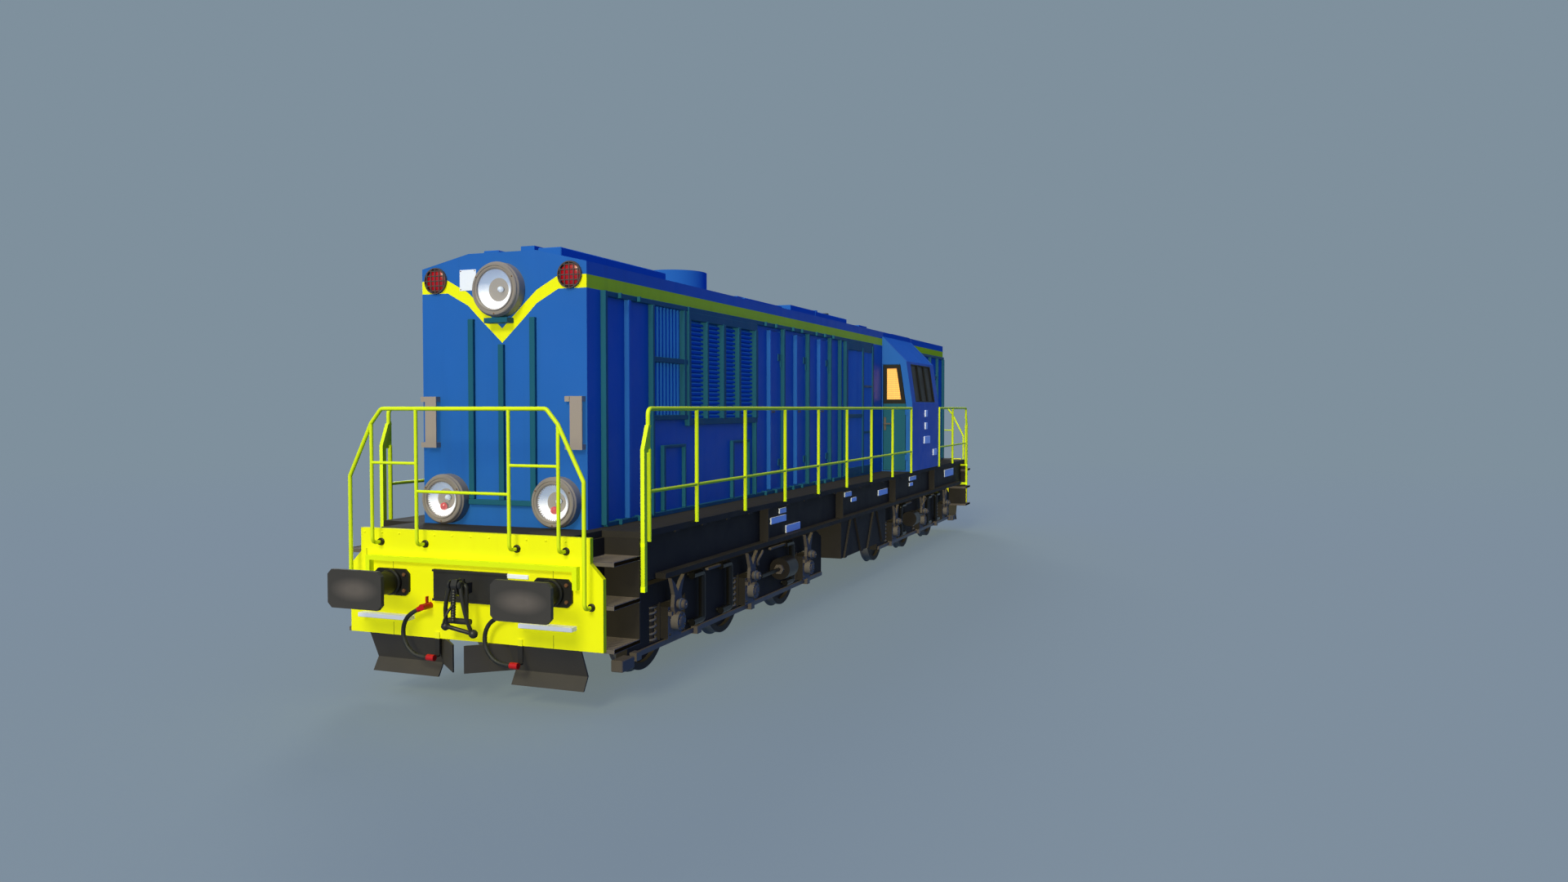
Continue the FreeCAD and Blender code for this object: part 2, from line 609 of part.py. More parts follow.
def chamfered(width, height, corner):
    """Corners of a plate with its four corners cut, about the buffer's axis."""
    a, b, c = "%s / 2" % width, "%s / 2" % height, corner
    quarter = [(a, "%s - %s" % (b, c)), ("%s - %s" % (a, c), b)]
    upper = quarter + [("-(%s)" % p, q) for p, q in reversed(quarter)]
    lower = [("-(%s)" % p, "-(%s)" % q) for p, q in upper]
    return [("buffer_place + " + p, "buffer_z + " + q) for p, q in upper + lower]


def make_buffers():
    face = "headstock_face"
    base = prism("buffer_base", "YZ_Plane", chamfered("base_width", "base_height", "head_corner"),
                 face, "base_thick")
    head = prism("buffer_head", "YZ_Plane", chamfered("head_width", "head_height", "head_corner"),
                 "buffer_face - head_thick", "head_thick")
    sleeve = rod("sleeve", face, "buffer_place", "buffer_z", "sleeve_dia",
                 "buffer_face - headstock_face - head_thick / 2", "x")
    left = fused("buffer", [base, head, sleeve])
    pair = both_sides("buffer_pair", left)
    node("buffers", both_ends("all_buffers", pair))


def make_draw_gear():
    """Draw plate and hook, and the links that hang in the hook's throat."""
    face = "headstock_face"
    plate = box("draw_plate", face, "-draw_half", "buffer_z - draw_height / 2", "draw_thick",
                "2 * draw_half", "draw_height")
    ledges = [box("draw_ledge", face, "-draw_half", "buffer_z + " + z, "2 * draw_thick",
                  "2 * draw_half", "draw_thick")
              for z in ("draw_height / 2 - draw_thick", "(-draw_height / 2)")]
    seat = ("headstock_face + 165", "buffer_z + 45")
    side = [("0", "-45"), ("170", "-60"), ("235", "-30"), ("255", "45"), ("235", "100"), ("200", "95"),
            ("130", "95"), ("110", "50"), ("0", "45")]
    hook = prism("hook_side", "XZ_Plane", [("headstock_face + " + a, "buffer_z + (%s)" % b)
                                           for a, b in side], "-hook_thick / 2", "hook_thick")
    throat = rod("throat", seat[0], "-hook_thick", seat[1], "link_dia + 2 * link_gap",
                 "2 * hook_thick", "y")
    slot = box("throat_slot", seat[0] + " - link_dia / 2 - link_gap", "-hook_thick", seat[1],
               "link_dia + 2 * link_gap", "2 * hook_thick", "100")
    solid = cut("draw_hook", fused("hook_solid", [plate, hook] + ledges), [fused("gap", [throat, slot])])
    node("draw_hooks", both_ends("hooks", solid))
    low = (seat[0], "%s - link_drop" % seat[1])
    links = [tube("upper_link", [
        (low[0], "-link_half", low[1]), (seat[0], "-link_half", seat[1]),
        (seat[0], "link_half", seat[1]), (low[0], "link_half", low[1])], "link_dia", "link_dia")]
    links.append(rod("trunnion", low[0], "-link_half - 40", low[1], "1.5 * link_dia",
                     "2 * link_half + 80", "y"))
    node("screw_couplings", both_ends("couplings", fused("coupling", links)))


def make_ploughs():
    """Blade with a lip flared forward, and a wing swept forward to the middle."""
    top = ("headstock_face", "foot_z")
    kink = ("headstock_face - blade_back", "foot_z - blade_height")
    lip = ("headstock_face - blade_back / 3", "foot_z - blade_height - blade_lip")
    back = [("%s - blade_thick" % a, b) for a, b in (lip, kink, top)]
    blade = prism("blade", "XZ_Plane", [top, kink, lip] + back, "blade_inner",
                  "blade_outer - blade_inner")
    root = "headstock_face - blade_back"
    corners = [(root, "blade_inner + blade_thick"), (root + " - blade_thick", "blade_inner"),
               (root + " + wing_reach - blade_thick", "wing_inner"),
               (root + " + wing_reach", "wing_inner")]
    wing = prism("plough_wing", "XY_Plane", corners, "foot_z - blade_height", "blade_height")
    left = fused("plough", [blade, wing])
    node("snow_ploughs", both_ends("ploughs", both_sides("plough_pair", left)))


def make_steps():
    """Three treads hung between a back plate and an inner plate."""
    depth = "deck_under - foot_z"
    pieces = [
        box("step_back_plate", "step_back", "step_inner", "foot_z", "step_plate",
            "frame_half - step_inner", depth),
        box("step_inner_plate", "step_back", "step_inner", "foot_z", "step_length",
            "step_plate", depth),
    ]
    for i in range(3):
        pieces.append(box("tread", "step_back", "step_inner",
                          "deck_z - tread_first - %d * tread_pitch - tread_thick" % i,
                          "step_length", "frame_half - step_inner", "tread_thick"))
    left = fused("steps", pieces)
    node("corner_steps", both_ends("all_steps", both_sides("step_pair", left)))


def make_tank():
    """Fuel tank slung under the centre sill, and a battery box on each side of it."""
    top, low = "centre_z", "centre_z - tank_depth"
    half = [("tank_half_width", "%s - 40" % top), ("tank_half_width", "%s + tank_corner" % low),
            ("tank_half_width - tank_corner", low)]
    neck = [("centre_half", top), ("centre_half", "%s - 40" % top)]
    corners = neck + half
    corners += [("-(%s)" % a, b) for a, b in reversed(corners)]
    node("fuel_tank", prism("tank", "YZ_Plane", corners, "-tank_half", "2 * tank_half"))
    base = "sill_z - battery_depth"
    case = box("battery_case", "-tank_half", "battery_inner", base, "2 * tank_half",
               "battery_outer - battery_inner", "battery_depth")
    ribs = [case]
    for middle in ("-0.5 * tank_half", "0.5 * tank_half"):
        for sign in (-1, 1):
            foot = "%s + %d * 420" % (middle, sign)
            head = "%s + %d * 90" % (middle, sign)
            corners = [(foot, base), (foot + " + rib_bar", base), (head + " + rib_bar", "sill_z"),
                       (head, "sill_z")]
            ribs.append(prism("case_rib", "XZ_Plane", corners, "battery_outer", "rib_proud"))
    node("battery_boxes", both_sides("batteries", fused("battery_box", ribs)))


# ---------------------------------------------------------------- long hood
# how far behind the hood's front each louvre column starts, and its width
LOUVRES = [(2108, 413), (2566, 420), (3056, 386), (3500, 478)]
BLIND = (1245, 705)


def recess_edges(setback, width):
    """Front and rear edge of a recess along X."""
    return "hood_front - %d" % setback, "hood_front - %d" % (setback + width)


def hinge_knuckles(name, x, y, base, lift, pitch):
    """Lower and upper knuckle of a hinge."""
    return [rod(name, x, y, "%s + %s + %s" % (base, lift, rise), "hinge_dia", "hinge_length")
            for rise in ("0", pitch)]


WALL_LIFT = "hinge_low - hinge_length - hinge_play"


def leaf_edge(i):
    """Front edge of a moving leaf: the middle of its doorway pair."""
    return "door_first - %d * door_pitch" % i


def make_hood_sides():
    length = "hood_front - panel - cab_front"
    wall = box("hood_wall", "cab_front", "hood_half - panel", "deck_z", length, "panel",
               "eave_z - deck_z")
    tools = []
    for i in range(3):
        tools.append(box("doorway", leaf_edge(i) + " - leaf_width - hinge_gap", "hood_half - 2 * panel",
                         "leaf_z - leaf_gap", "leaf_width + hinge_gap + leaf_gap", "3 * panel",
                         "leaf_height + 2 * leaf_gap"))
    for setback, width in LOUVRES:
        rear = recess_edges(setback, width)[1]
        tools.append(box("louvre_recess", rear, "hood_half - recess_deep", "deck_z + louvre_bottom",
                         width, "panel", "louvre_height"))
    tools.append(box("blind_recess", recess_edges(*BLIND)[1], "hood_half - recess_deep",
                     "deck_z + blind_bottom", BLIND[1], "panel", "blind_height"))
    tools.append(box("niche", "cab_front + niche_gap", "hood_half - niche_deep",
                     "deck_z + leaf_bottom", "niche_length", "panel", "niche_height - leaf_bottom"))
    pieces = [cut("pierced_wall", wall, tools)]
    for i in range(3):
        hinge = leaf_edge(i) + " - leaf_width - hinge_gap"
        pieces += hinge_knuckles("post_knuckle", hinge, "hinge_y", "leaf_z", WALL_LIFT, "hinge_pitch")
        for rise in ("0", "hinge_pitch"):
            pieces.append(box("hinge_foot", hinge + " - hinge_foot", "hood_half - strap_seat",
                              "leaf_z + %s + %s" % (WALL_LIFT, rise), "hinge_foot",
                              "hinge_proud + strap_seat", "hinge_length"))
    left = fused("hood_side", pieces)
    node("hood_side_left", left)
    node("hood_side_right", mirrored("hood_side_mirror", left))


def make_engine_doors():
    """The moving leaf of each doorway, hung on its rear edge."""
    for i in range(3):
        hinge = leaf_edge(i) + " - leaf_width - hinge_gap"
        leaf = box("leaf", leaf_edge(i) + " - leaf_width", "hood_half - leaf_thick", "leaf_z",
                   "leaf_width", "leaf_thick", "leaf_height")
        knuckles = hinge_knuckles("leaf_knuckle", hinge, "hinge_y", "leaf_z", "hinge_low",
                                  "hinge_pitch")
        straps = [box("strap", hinge, "hood_half - strap_seat", "leaf_z + hinge_low + " + rise,
                      "strap_length", "hinge_proud + strap_seat", "hinge_length")
                  for rise in ("0", "hinge_pitch")]
        left = fused("engine_door", [leaf] + knuckles + straps)
        node("engine_door_left_%d" % (i + 1), left)
        node("engine_door_right_%d" % (i + 1), mirrored("engine_door_mirror", left))


def section(half, eave):
    """Right half of the hood's outline from the eave up, then the left."""
    right = [(half, eave), ("roof_flat", "crown_z")]
    return right + [("-(%s)" % a, b) for a, b in reversed(right)]


def make_hood_front_and_roof():
    corners = [("-hood_half", "deck_z"), ("hood_half", "deck_z")] + section("hood_half", "eave_z")
    node("hood_front", prism("front_panel", "YZ_Plane", corners, "hood_front - panel", "panel"))
    under = [("hood_half - panel", "eave_z"), ("roof_flat - 10", "crown_z - panel")]
    shell = section("hood_half", "eave_z") + [("-(%s)" % a, b) for a, b in under]
    shell += [(a, b) for a, b in reversed(under)]
    roof = prism("roof_shell", "YZ_Plane", shell, "cab_front", "hood_front - panel - cab_front")
    hole = rod("fan_hole", "fan_place", "0", "eave_z", "cowl_dia - 4 * cowl_wall", "2 * roof_rise")
    node("hood_roof", cut("pierced_roof", roof, [hole]))


def make_rear_hood():
    """Closed casing behind the cab, with a void inside its walls."""
    corners = [("-hood_half", "deck_z"), ("hood_half", "deck_z")] + section("hood_half", "eave_z")
    outer = prism("rear_outer", "YZ_Plane", corners, "-hood_front", "hood_front + cab_rear")
    inner = box("rear_inner", "-hood_front + panel", "-hood_half + panel", "deck_z + panel",
                "hood_front + cab_rear - 2 * panel", "2 * (hood_half - panel)",
                "eave_z - deck_z - 2 * panel")
    node("rear_hood", cut("rear_casing", outer, [inner]))


def make_louvres():
    """Frames with slats: sloping slats in the louvre columns, upright fins in the blinds."""
    pieces = []
    deep, base = "hood_half - recess_deep", "deck_z + louvre_bottom"
    for setback, width in LOUVRES:
        rear = recess_edges(setback, width)[1]
        slats = [box("louvre_back", rear, deep, base, width, "louvre_sheet", "louvre_height")]
        for k in range(int(number("slats"))):
            low = "%s + %d * louvre_height / slats" % (base, k)
            corners = [(deep, low), ("hood_half", low), ("hood_half", low + " + slat_lip"),
                       (deep, low + " + slat_rise")]
            slats.append(prism("slat", "YZ_Plane", corners, rear, width))
        pieces.append(fused("louvre", slats))
    width, rear = BLIND[1], recess_edges(*BLIND)[1]
    base = "deck_z + blind_bottom"
    fins = [box("blind_back", rear, deep, base, width, "louvre_sheet", "blind_height")]
    for k in range(int(number("fins"))):
        place = "%s + %s * %d / fins - fin_thick / 2" % (rear, k + 0.5, width)
        fins.append(box("blind_fin", place, deep, base, "fin_thick", "recess_deep - fin_set",
                        "blind_height"))
    pieces.append(fused("blind", fins))
    node("hood_louvres", both_sides("louvre_sides", group("louvre_left", pieces)))


# ---------------------------------------------------------------- cab
def cab_outline():
    right = [("cab_half", "deck_z"), ("cab_half", "belt_z"), ("cornice_half", "cornice_z"),
             ("hood_half", "cab_eave_z"), ("hood_half", "eave_z"), ("roof_flat", "crown_z")]
    return right + [("-(%s)" % a, b) for a, b in reversed(right)]


def lean_at(height):
    """Half-width of the leaning wall at a height above the belt."""
    return "cab_half - lean * (%s) / window_height" % height


def door_opening(play):
    """Doorway: upright to the belt, then leaning in with the cab's side."""
    head = "window_height - door_head"
    return [("door_inner - " + play, "deck_z + door_sill - " + play),
            ("door_outer + " + play, "deck_z + door_sill - " + play),
            ("door_outer + " + play, "belt_z"),
            ("door_outer - lean * (%s) / window_height + %s" % (head, play),
             "cornice_z - door_head + " + play),
            ("door_inner - " + play, "cornice_z - door_head + " + play)]


def pane_outline(margin):
    head = "window_height - door_head - %s" % margin
    return [("door_inner + " + margin, "belt_z + " + margin),
            ("door_outer - %s - lean * %s / window_height" % (margin, margin), "belt_z + " + margin),
            ("door_outer - %s - lean * (%s) / window_height" % (margin, head),
             "cornice_z - door_head - " + margin),
            ("door_inner + " + margin, "cornice_z - door_head - " + margin)]


def make_cab_ends():
    """End wall with a doorway on the left and a window on the right; the rear one is turned."""
    wall = prism("end_wall", "YZ_Plane", cab_outline(), "cab_front - cab_wall", "cab_wall")
    doorway = prism("doorway_cut", "YZ_Plane", door_opening("door_play"), "cab_front - 2 * cab_wall",
                    "3 * cab_wall")
    pane = [("-(%s)" % a, b) for a, b in reversed(pane_outline("0"))]
    window = prism("window_cut", "YZ_Plane", pane, "cab_front - 2 * cab_wall", "3 * cab_wall")
    pieces = [cut("pierced_end", wall, [doorway, window])]
    pieces += hinge_knuckles("wall_knuckle", "hinge_x", "door_outer + door_play", "deck_z", WALL_LIFT,
                             "door_hinge_pitch")
    for rise in ("0", "door_hinge_pitch"):
        pieces.append(box("wall_foot", "cab_front - strap_seat", "door_outer + door_play",
                          "deck_z + %s + %s" % (WALL_LIFT, rise), "hinge_proud + strap_seat",
                          "hinge_foot", "hinge_length"))
    front = fused("cab_front_wall", pieces)
    node("cab_front_wall", front)
    node("cab_rear_wall", copied("cab_rear_wall", front, x="2 * cab_middle", turn=180))


def make_cab_doors():
    leaf = prism("door_leaf", "YZ_Plane", door_opening("0"), "cab_front - door_thick", "door_thick")
    sunk = [prism("pane_sink", "YZ_Plane", pane_outline("door_pane_margin"), start,
                  "(door_thick - glass_thick) / 2 + %s" % extra)
            for start, extra in (("cab_front - (door_thick - glass_thick) / 2", "5"),
                                 ("cab_front - door_thick - 5", "5"))]
    knuckles = hinge_knuckles("door_knuckle", "hinge_x", "door_outer + door_play", "deck_z",
                              "hinge_low", "door_hinge_pitch")
    straps = [box("door_strap", "cab_front - strap_seat", "door_outer + door_play - strap_length",
                  "deck_z + hinge_low + " + rise, "hinge_proud + strap_seat", "strap_length",
                  "hinge_length") for rise in ("0", "door_hinge_pitch")]
    front = fused("cab_door", [cut("leaf_cut", leaf, sunk)] + knuckles + straps)
    node("cab_door_front", front)
    node("cab_door_rear", copied("cab_door_rear", front, x="2 * cab_middle", turn=180))


def side_windows():
    """front edge, rear edge of the three side windows"""
    front = "cab_front - window_inset_front"
    width = "(cab_length - window_inset_front - window_inset_rear - 2 * mullion) / 3"
    return [("%s - %d * (%s + mullion) - %s" % (front, k, width, width), width) for k in range(3)]


def make_cab_shell():
    start, depth = "cab_rear + cab_wall", "cab_front - cab_rear - 2 * cab_wall"
    outer = [("cab_half", "deck_z"), ("cab_half", "belt_z"), ("cornice_half", "cornice_z")]
    inner = [("%s - cab_wall" % a, b) for a, b in reversed(outer)]
    wall = prism("side_wall", "YZ_Plane", outer + inner, start, depth)
    tools = [box("side_window", x, "cornice_half - 2 * cab_wall", "belt_z + window_margin", width,
                 "4 * cab_wall", "window_height - 2.5 * window_margin")
             for x, width in side_windows()]
    node("cab_sides", both_sides("cab_side_walls", cut("cab_side", wall, tools)))
    top = [("cornice_half", "cornice_z"), ("hood_half", "cab_eave_z"), ("hood_half", "eave_z"),
           ("roof_flat", "crown_z")]
    under = [("cornice_half - cab_wall", "cornice_z"), ("hood_half - panel", "cab_eave_z - panel"),
             ("hood_half - panel", "eave_z - panel / 2"), ("roof_flat - 10", "crown_z - panel")]
    corners = top + [("-(%s)" % a, b) for a, b in reversed(top)]
    corners += [("-(%s)" % a, b) for a, b in under] + list(reversed(under))
    node("cab_roof", prism("cab_roof_shell", "YZ_Plane", corners, start, depth))


def make_glass():
    """Panes in the middle of their walls: three a side, one in each end wall."""
    low, high = "window_margin", "window_height - 1.5 * window_margin"
    inset = "cab_wall / 2"
    panes = []
    for x, width in side_windows():
        corners = []
        for height, edge in ((low, inset), (high, inset), (high, inset + " + glass_thick"),
                             (low, inset + " + glass_thick")):
            corners.append(("%s - %s" % (lean_at(height), edge), "belt_z + " + height))
        panes.append(prism("side_pane", "YZ_Plane", corners, x, width))
    sides = both_sides("side_panes", group("left_panes", panes))
    pane = [("-(%s)" % a, b) for a, b in reversed(pane_outline("0"))]
    front = prism("end_pane", "YZ_Plane", pane, "cab_front - cab_wall / 2", "glass_thick")
    rear = copied("end_pane_rear", front, x="2 * cab_middle", turn=180)
    node("cab_windows", group("panes", [sides, front, rear]))


def make_cab_inside():
    wall = "cab_front - cab_wall"
    corners = [(wall, "deck_z"), (wall, "deck_z + desk_height"),
               (wall + " - 0.4 * desk_depth", "deck_z + desk_height"),
               (wall + " - desk_depth", "deck_z + desk_height - 160"),
               (wall + " - desk_depth", "deck_z + desk_height - 220"),
               (wall + " - 0.6 * desk_depth", "deck_z + desk_height - 260"),
               (wall + " - 0.6 * desk_depth", "deck_z")]
    node("cab_desk", prism("desk", "XZ_Plane", corners, "-desk_half", "2 * desk_half"))
    middle = "seat_place"
    pieces = [
        rod("pedestal", middle, "seat_side", "deck_z", "120", "seat_height"),
        box("cushion", middle + " - seat_size / 2", "seat_side - seat_size / 2",
            "deck_z + seat_height - 90", "seat_size", "seat_size", "90"),
        box("seat_rest", middle + " - seat_size / 2 - 60", "seat_side - seat_size / 2",
            "deck_z + seat_height - 90", "90", "seat_size", "seat_back"),
    ]
    node("cab_seats", both_sides("seats", fused("seat", pieces)))


# ---------------------------------------------------------------- rails and fittings
def rail_section(name, rear, end, posts):
    """Top rail bent down onto a square end bar, with a gusset, a lower bar and upright posts."""
    side, knee, heel, foot = "rail_place", "rail_z - rail_knee", "rail_z - rail_heel", "sill_z - rail_foot"
    back, front = end + " + rail_toe - end_bar / 2", end + " + rail_toe + end_bar / 2"
    post = end + " - rail_dia / 2"
    top = tube(name + "_top", [(end, side, knee + " - 25"), (end, side, "rail_z"),
                               (rear, side, "rail_z")], "60", "post_dia")
    bar = [(end + " - end_bar / 2", knee), (end + " + end_bar / 2", knee), (front, heel),
           (front, foot), (back, foot), (back, heel)]
    gusset = [(post + " - rail_dia / 2", knee + " + 20"), (end, knee + " + 20"),
              (back + " + 10", heel + " - 30"), (post + " - rail_dia / 2", heel + " - 30")]
    pieces = [
        top,
        prism(name + "_end", "XZ_Plane", bar, side + " - end_width / 2", "end_width"),
        prism(name + "_gusset", "XZ_Plane", gusset, side + " - gusset_thick / 2", "gusset_thick"),
        rod(name + "_short", post, side, "deck_z - post_drop", "post_dia",
            "rail_height + post_drop - rail_heel"),
        box(name + "_foot", back, "frame_half - foot_inset", foot, "end_bar",
            "foot_inset + post_dia / 2", "rail_foot"),
        box(name + "_lug", back, "frame_half - sill_inset", "deck_z - post_drop - end_lug", "end_bar",
            "sill_inset + post_dia / 2", "end_lug"),
        rod(name + "_bar", rear, side, "bar_z", "rail_dia", "%s - (%s)" % (post, rear), "x")]
    for place in posts:
        pieces.append(rod(name + "_post", place, side, "deck_z - post_drop", "post_dia",
                          "rail_z - deck_z + post_drop"))
    return fused(name, pieces)


def make_side_railings():
    rear = "cab_front + rail_gap"
    posts = ["cab_front + rail_gap + post_dia / 2 + %d * post_pitch" % k for k in range(8)]
    left = rail_section("front_rail", rear, "rail_end", posts)
    short_rear = "-cab_rear + rail_gap"
    short_posts = [short_rear + " + post_dia / 2", short_rear + " + post_pitch"]
    short = rail_section("short_rail", short_rear, "rail_end", short_posts)
    back = copied("short_rail_place", short, turn=180)
    node("side_railings", both_sides("railings", group("left_railings", [left, mirrored(
        "rear_rail_left", back)])))


def make_end_railings():
    """Bent outline of tube before the headstock, with inner posts and bars."""
    x, wall = "end_rail_x", "headstock_face"
    low, foot = "sill_z - 110", "deck_z - hook_drop"
    shoulder = "rail_z - 135"
    outer = tube("end_outline", [
        (wall, "-end_rail_half", low), (x, "-end_rail_half", low),
        (x, "-end_rail_half", "rail_z - 630"), (x, "-end_rail_shoulder", shoulder),
        (x, "-end_rail_top", "rail_z"), (x, "end_rail_top", "rail_z"),
        (x, "end_rail_shoulder", shoulder), (x, "end_rail_half", "rail_z - 630"),
        (x, "end_rail_half", low), (wall, "end_rail_half", low)], "50", "rail_dia + 4")
    pieces = [outer]
    for side, top in (("-end_rail_shoulder", shoulder), ("-end_post", "rail_z"),
                      ("end_post", "rail_z"), ("end_rail_shoulder", shoulder)):
        pieces.append(tube("end_post_tube", [(wall, side, foot), (x, side, foot), (x, side, top)],
                           "50", "rail_dia"))
    for start, width, height in (("-end_rail_shoulder", "end_rail_shoulder - end_post", "rail_z - 500"),
                                 ("-end_post", "2 * end_post", "rail_z - 755"),
                                 ("end_post", "end_rail_shoulder - end_post", "rail_z - 500")):
        pieces.append(rod("end_bar", x, start, height, "bar_dia", width, "y"))
    node("end_railings", both_ends("end_rails", fused("end_railing", pieces)))


def lamp(name, diameter, y, z):
    """Lamp body with a dished front, turned about X."""
    body = document.addObject("PartDesign::Body", name)
    corners = [("0", "0"), ("0", "%s / 2" % diameter), ("lamp_depth * 0.8", "%s / 2" % diameter),
               ("lamp_depth", "%s / 2 - 20" % diameter), ("lamp_depth", "%s / 2 - lamp_rim" % diameter),
               ("lamp_depth - lamp_dish", "%s / 2 - lamp_rim - 60" % diameter),
               ("lamp_depth - lamp_dish", "0")]
    sketch = outline(body, "XY_Plane", corners)
    spin = body.newObject("PartDesign::Revolution", "spin")
    spin.Profile = sketch
    spin.ReferenceAxis = (sketch, ["H_Axis"])
    spin.Angle = 360
    return drive(body, x="hood_front", y=y, z=z)


def make_lamps():
    lamps = [lamp("main_lamp", "lamp_dia", "0", "eave_z - lamp_drop")]
    for sign in (-1, 1):
        lamps.append(lamp("low_lamp", "low_lamp_dia", "%d * low_lamp_side" % sign,
                          "deck_z + low_lamp_rise"))
    node("headlamps", both_ends("lamps", group("front_lamps", lamps)))


def make_fan():
    """Cowl ring with a three-armed spider, and the fan that turns on it."""
    ring = cut("cowl_ring", rod("cowl_out", "fan_place", "0", "crown_z", "cowl_dia", "cowl_height"),
               [rod("cowl_in", "fan_place", "0", "crown_z - 10", "cowl_dia - 2 * cowl_wall",
                    "cowl_height + 20")])
    pieces = [ring, rod("boss", "fan_place", "0", "crown_z", "fan_hub_dia", "spider_height")]
    for k in range(3):
        arm = box("arm", "0", "0", "crown_z", "cowl_dia / 2 - cowl_wall / 2", "40", "spider_height")
        arm.Placement.Rotation = FreeCAD.Rotation(FreeCAD.Vector(0, 0, 1), 120 * k)
        drive(arm, x="fan_place + 20 * sin(%d deg)" % (120 * k),
              y="0 - 20 * cos(%d deg)" % (120 * k), z="crown_z")
        pieces.append(arm)
    node("fan_cowl", fused("cowl", pieces))
    base = "crown_z + spider_height + hinge_play"
    blades = [rod("fan_hub", "0", "0", base, "fan_hub_dia", "fan_hub_height")]
    for k in range(8):
        blades.append(fan_blade(k, base))
    rotor = fused("fan_rotor", blades)
    node("roof_fan", copied("roof_fan_place", rotor, x="fan_place"))


def fan_blade(k, base):
    """Flat blade set at 35 degrees to the fan's disc."""
    pitch, reach = 35, "cowl_dia / 2 - cowl_wall - fan_gap"
    plate = box("blade_plate", "fan_hub_dia / 2 - 15", "-60", "-fan_blade_thick / 2",
                "(%s) - fan_hub_dia / 2 + 15" % reach, "120", "fan_blade_thick")
    tilted = group("blade_tilt", [plate])
    tilted.Placement.Rotation = FreeCAD.Rotation(FreeCAD.Vector(1, 0, 0), pitch)
    around = group("blade_turn", [tilted])
    around.Placement.Rotation = FreeCAD.Rotation(FreeCAD.Vector(0, 0, 1), 45 * k)
    return drive(around, z=base + " + fan_hub_height / 2")


def make_roof_fittings():
    duct = "hood_front - panel - duct_length"
    pieces = [
        box("roof_duct", duct, "180", "crown_z", "duct_length", "150", "50"),
        box("roof_hatch", "fan_place - hatch_setback", "-330", "crown_z", "hatch_length", "660", "40"),
        box("silencer", "cab_front + silencer_setback", "-300", "crown_z", "silencer_length", "600",
            "110"),
        rod("exhaust", "cab_front + exhaust_setback", "150", "crown_z", "exhaust_dia", "150"),
        box("cab_vent", "cab_middle - 250", "-250", "crown_z", "500", "500", "70"),
        box("rear_hatch", "-hood_front + 500", "-300", "crown_z", "1500", "600", "40"),
    ]
    node("roof_fittings", group("roof_pieces", pieces))


def make_engine():
    node("engine_block", box("engine", "engine_rear", "-engine_half", "deck_z",
                             "engine_length", "2 * engine_half", "engine_height"))


# part of a grab plate's foot, its distance from the foot's edge, how far out it stands, its width
GRAB_FOOT = [("near_foot", 0, "42", "50"), ("far_foot", 78, "handle_proud", "122"),
             ("foot_bridge", 50, "8", "28")]


def make_handles():
    """Flat grab plate on two stepped feet, twice on each hood end, all facing the same way."""
    pieces = []
    for middle in ("handle_side", "-handle_side"):
        edge = middle + " - handle_reach"
        parts = [box("grab_plate", "hood_front + handle_proud", edge + " + handle_shift",
                     "handle_low", "handle_thick", "handle_width", "handle_length")]
        for lift in ("0", "handle_length - handle_foot"):
            for name, start, out, width in GRAB_FOOT:
                parts.append(box(name, "hood_front", "%s + %d" % (edge, start),
                                 "handle_low + " + lift, out, width, "handle_foot"))
        pieces.append(fused("grab_handle", parts))
    node("grab_handles", both_ends("handles", group("handle_pair", pieces)))


# ---------------------------------------------------------------- hoses
# sideways and down from the nozzle's mouth, after a first run in line with the nozzle:
# the hose bows out, hangs and comes back to its head
HOSE_ROUTE = [(-154, -120), (-176, -217), (-153, -314), (-90, -392), (0, -434), (100, -434)]


def hose_mouth(side):
    """Where the hose leaves the nozzle, sideways and in height."""
    return ("%s - nozzle_length * cos(nozzle_fall * 1 deg)" % side,
            "cock_z - nozzle_length * sin(nozzle_fall * 1 deg)")


def hose_points(side):
    """Corners of a hose from its nozzle's mouth to its coupling head."""
    y, z = (number(part) for part in hose_mouth(side))
    fall, run = math.radians(number("nozzle_fall")), number("hose_run")
    route = [(0, 0), (-run * math.cos(fall), -run * math.sin(fall))] + HOSE_ROUTE
    return [FreeCAD.Vector(number("cock_x"), y + a, z + b) for a, b in route]


def make_hoses():
    """Brake hose from the nozzle of its cock to its coupling head on the hanger."""
    fittings = []
    for end, turn, sides in (("front", 0, ("right", "left")), ("rear", 180, ("left", "right"))):
        for side, place in zip(sides, ("-hose_side", "hose_side")):
            points = hose_points(place)
            radii = bend_radii(points)
            hose = tube_shape(points, radii, number("hose_dia"))
            length = bent_wire(points, radii).Length
            full = math.pi * number("hose_dia") ** 2 / 4 * length
            print("hose", end, side, "bend radii", [round(radius) for radius in radii],
                  "volume ratio", round(hose.Volume / full, 4))
            thing = document.addObject("Part::Feature", "hose")
            thing.Shape = hose
            thing.Placement = FreeCAD.Placement(FreeCAD.Vector(), FreeCAD.Rotation(
                FreeCAD.Vector(0, 0, 1), turn))
            node("brake_hose_%s_%s" % (end, side), thing)
            if not turn:
                fittings += [make_cock(place), make_hanger(place)]
    node("hose_fittings", both_ends("fittings", group("front_fittings", fittings)))


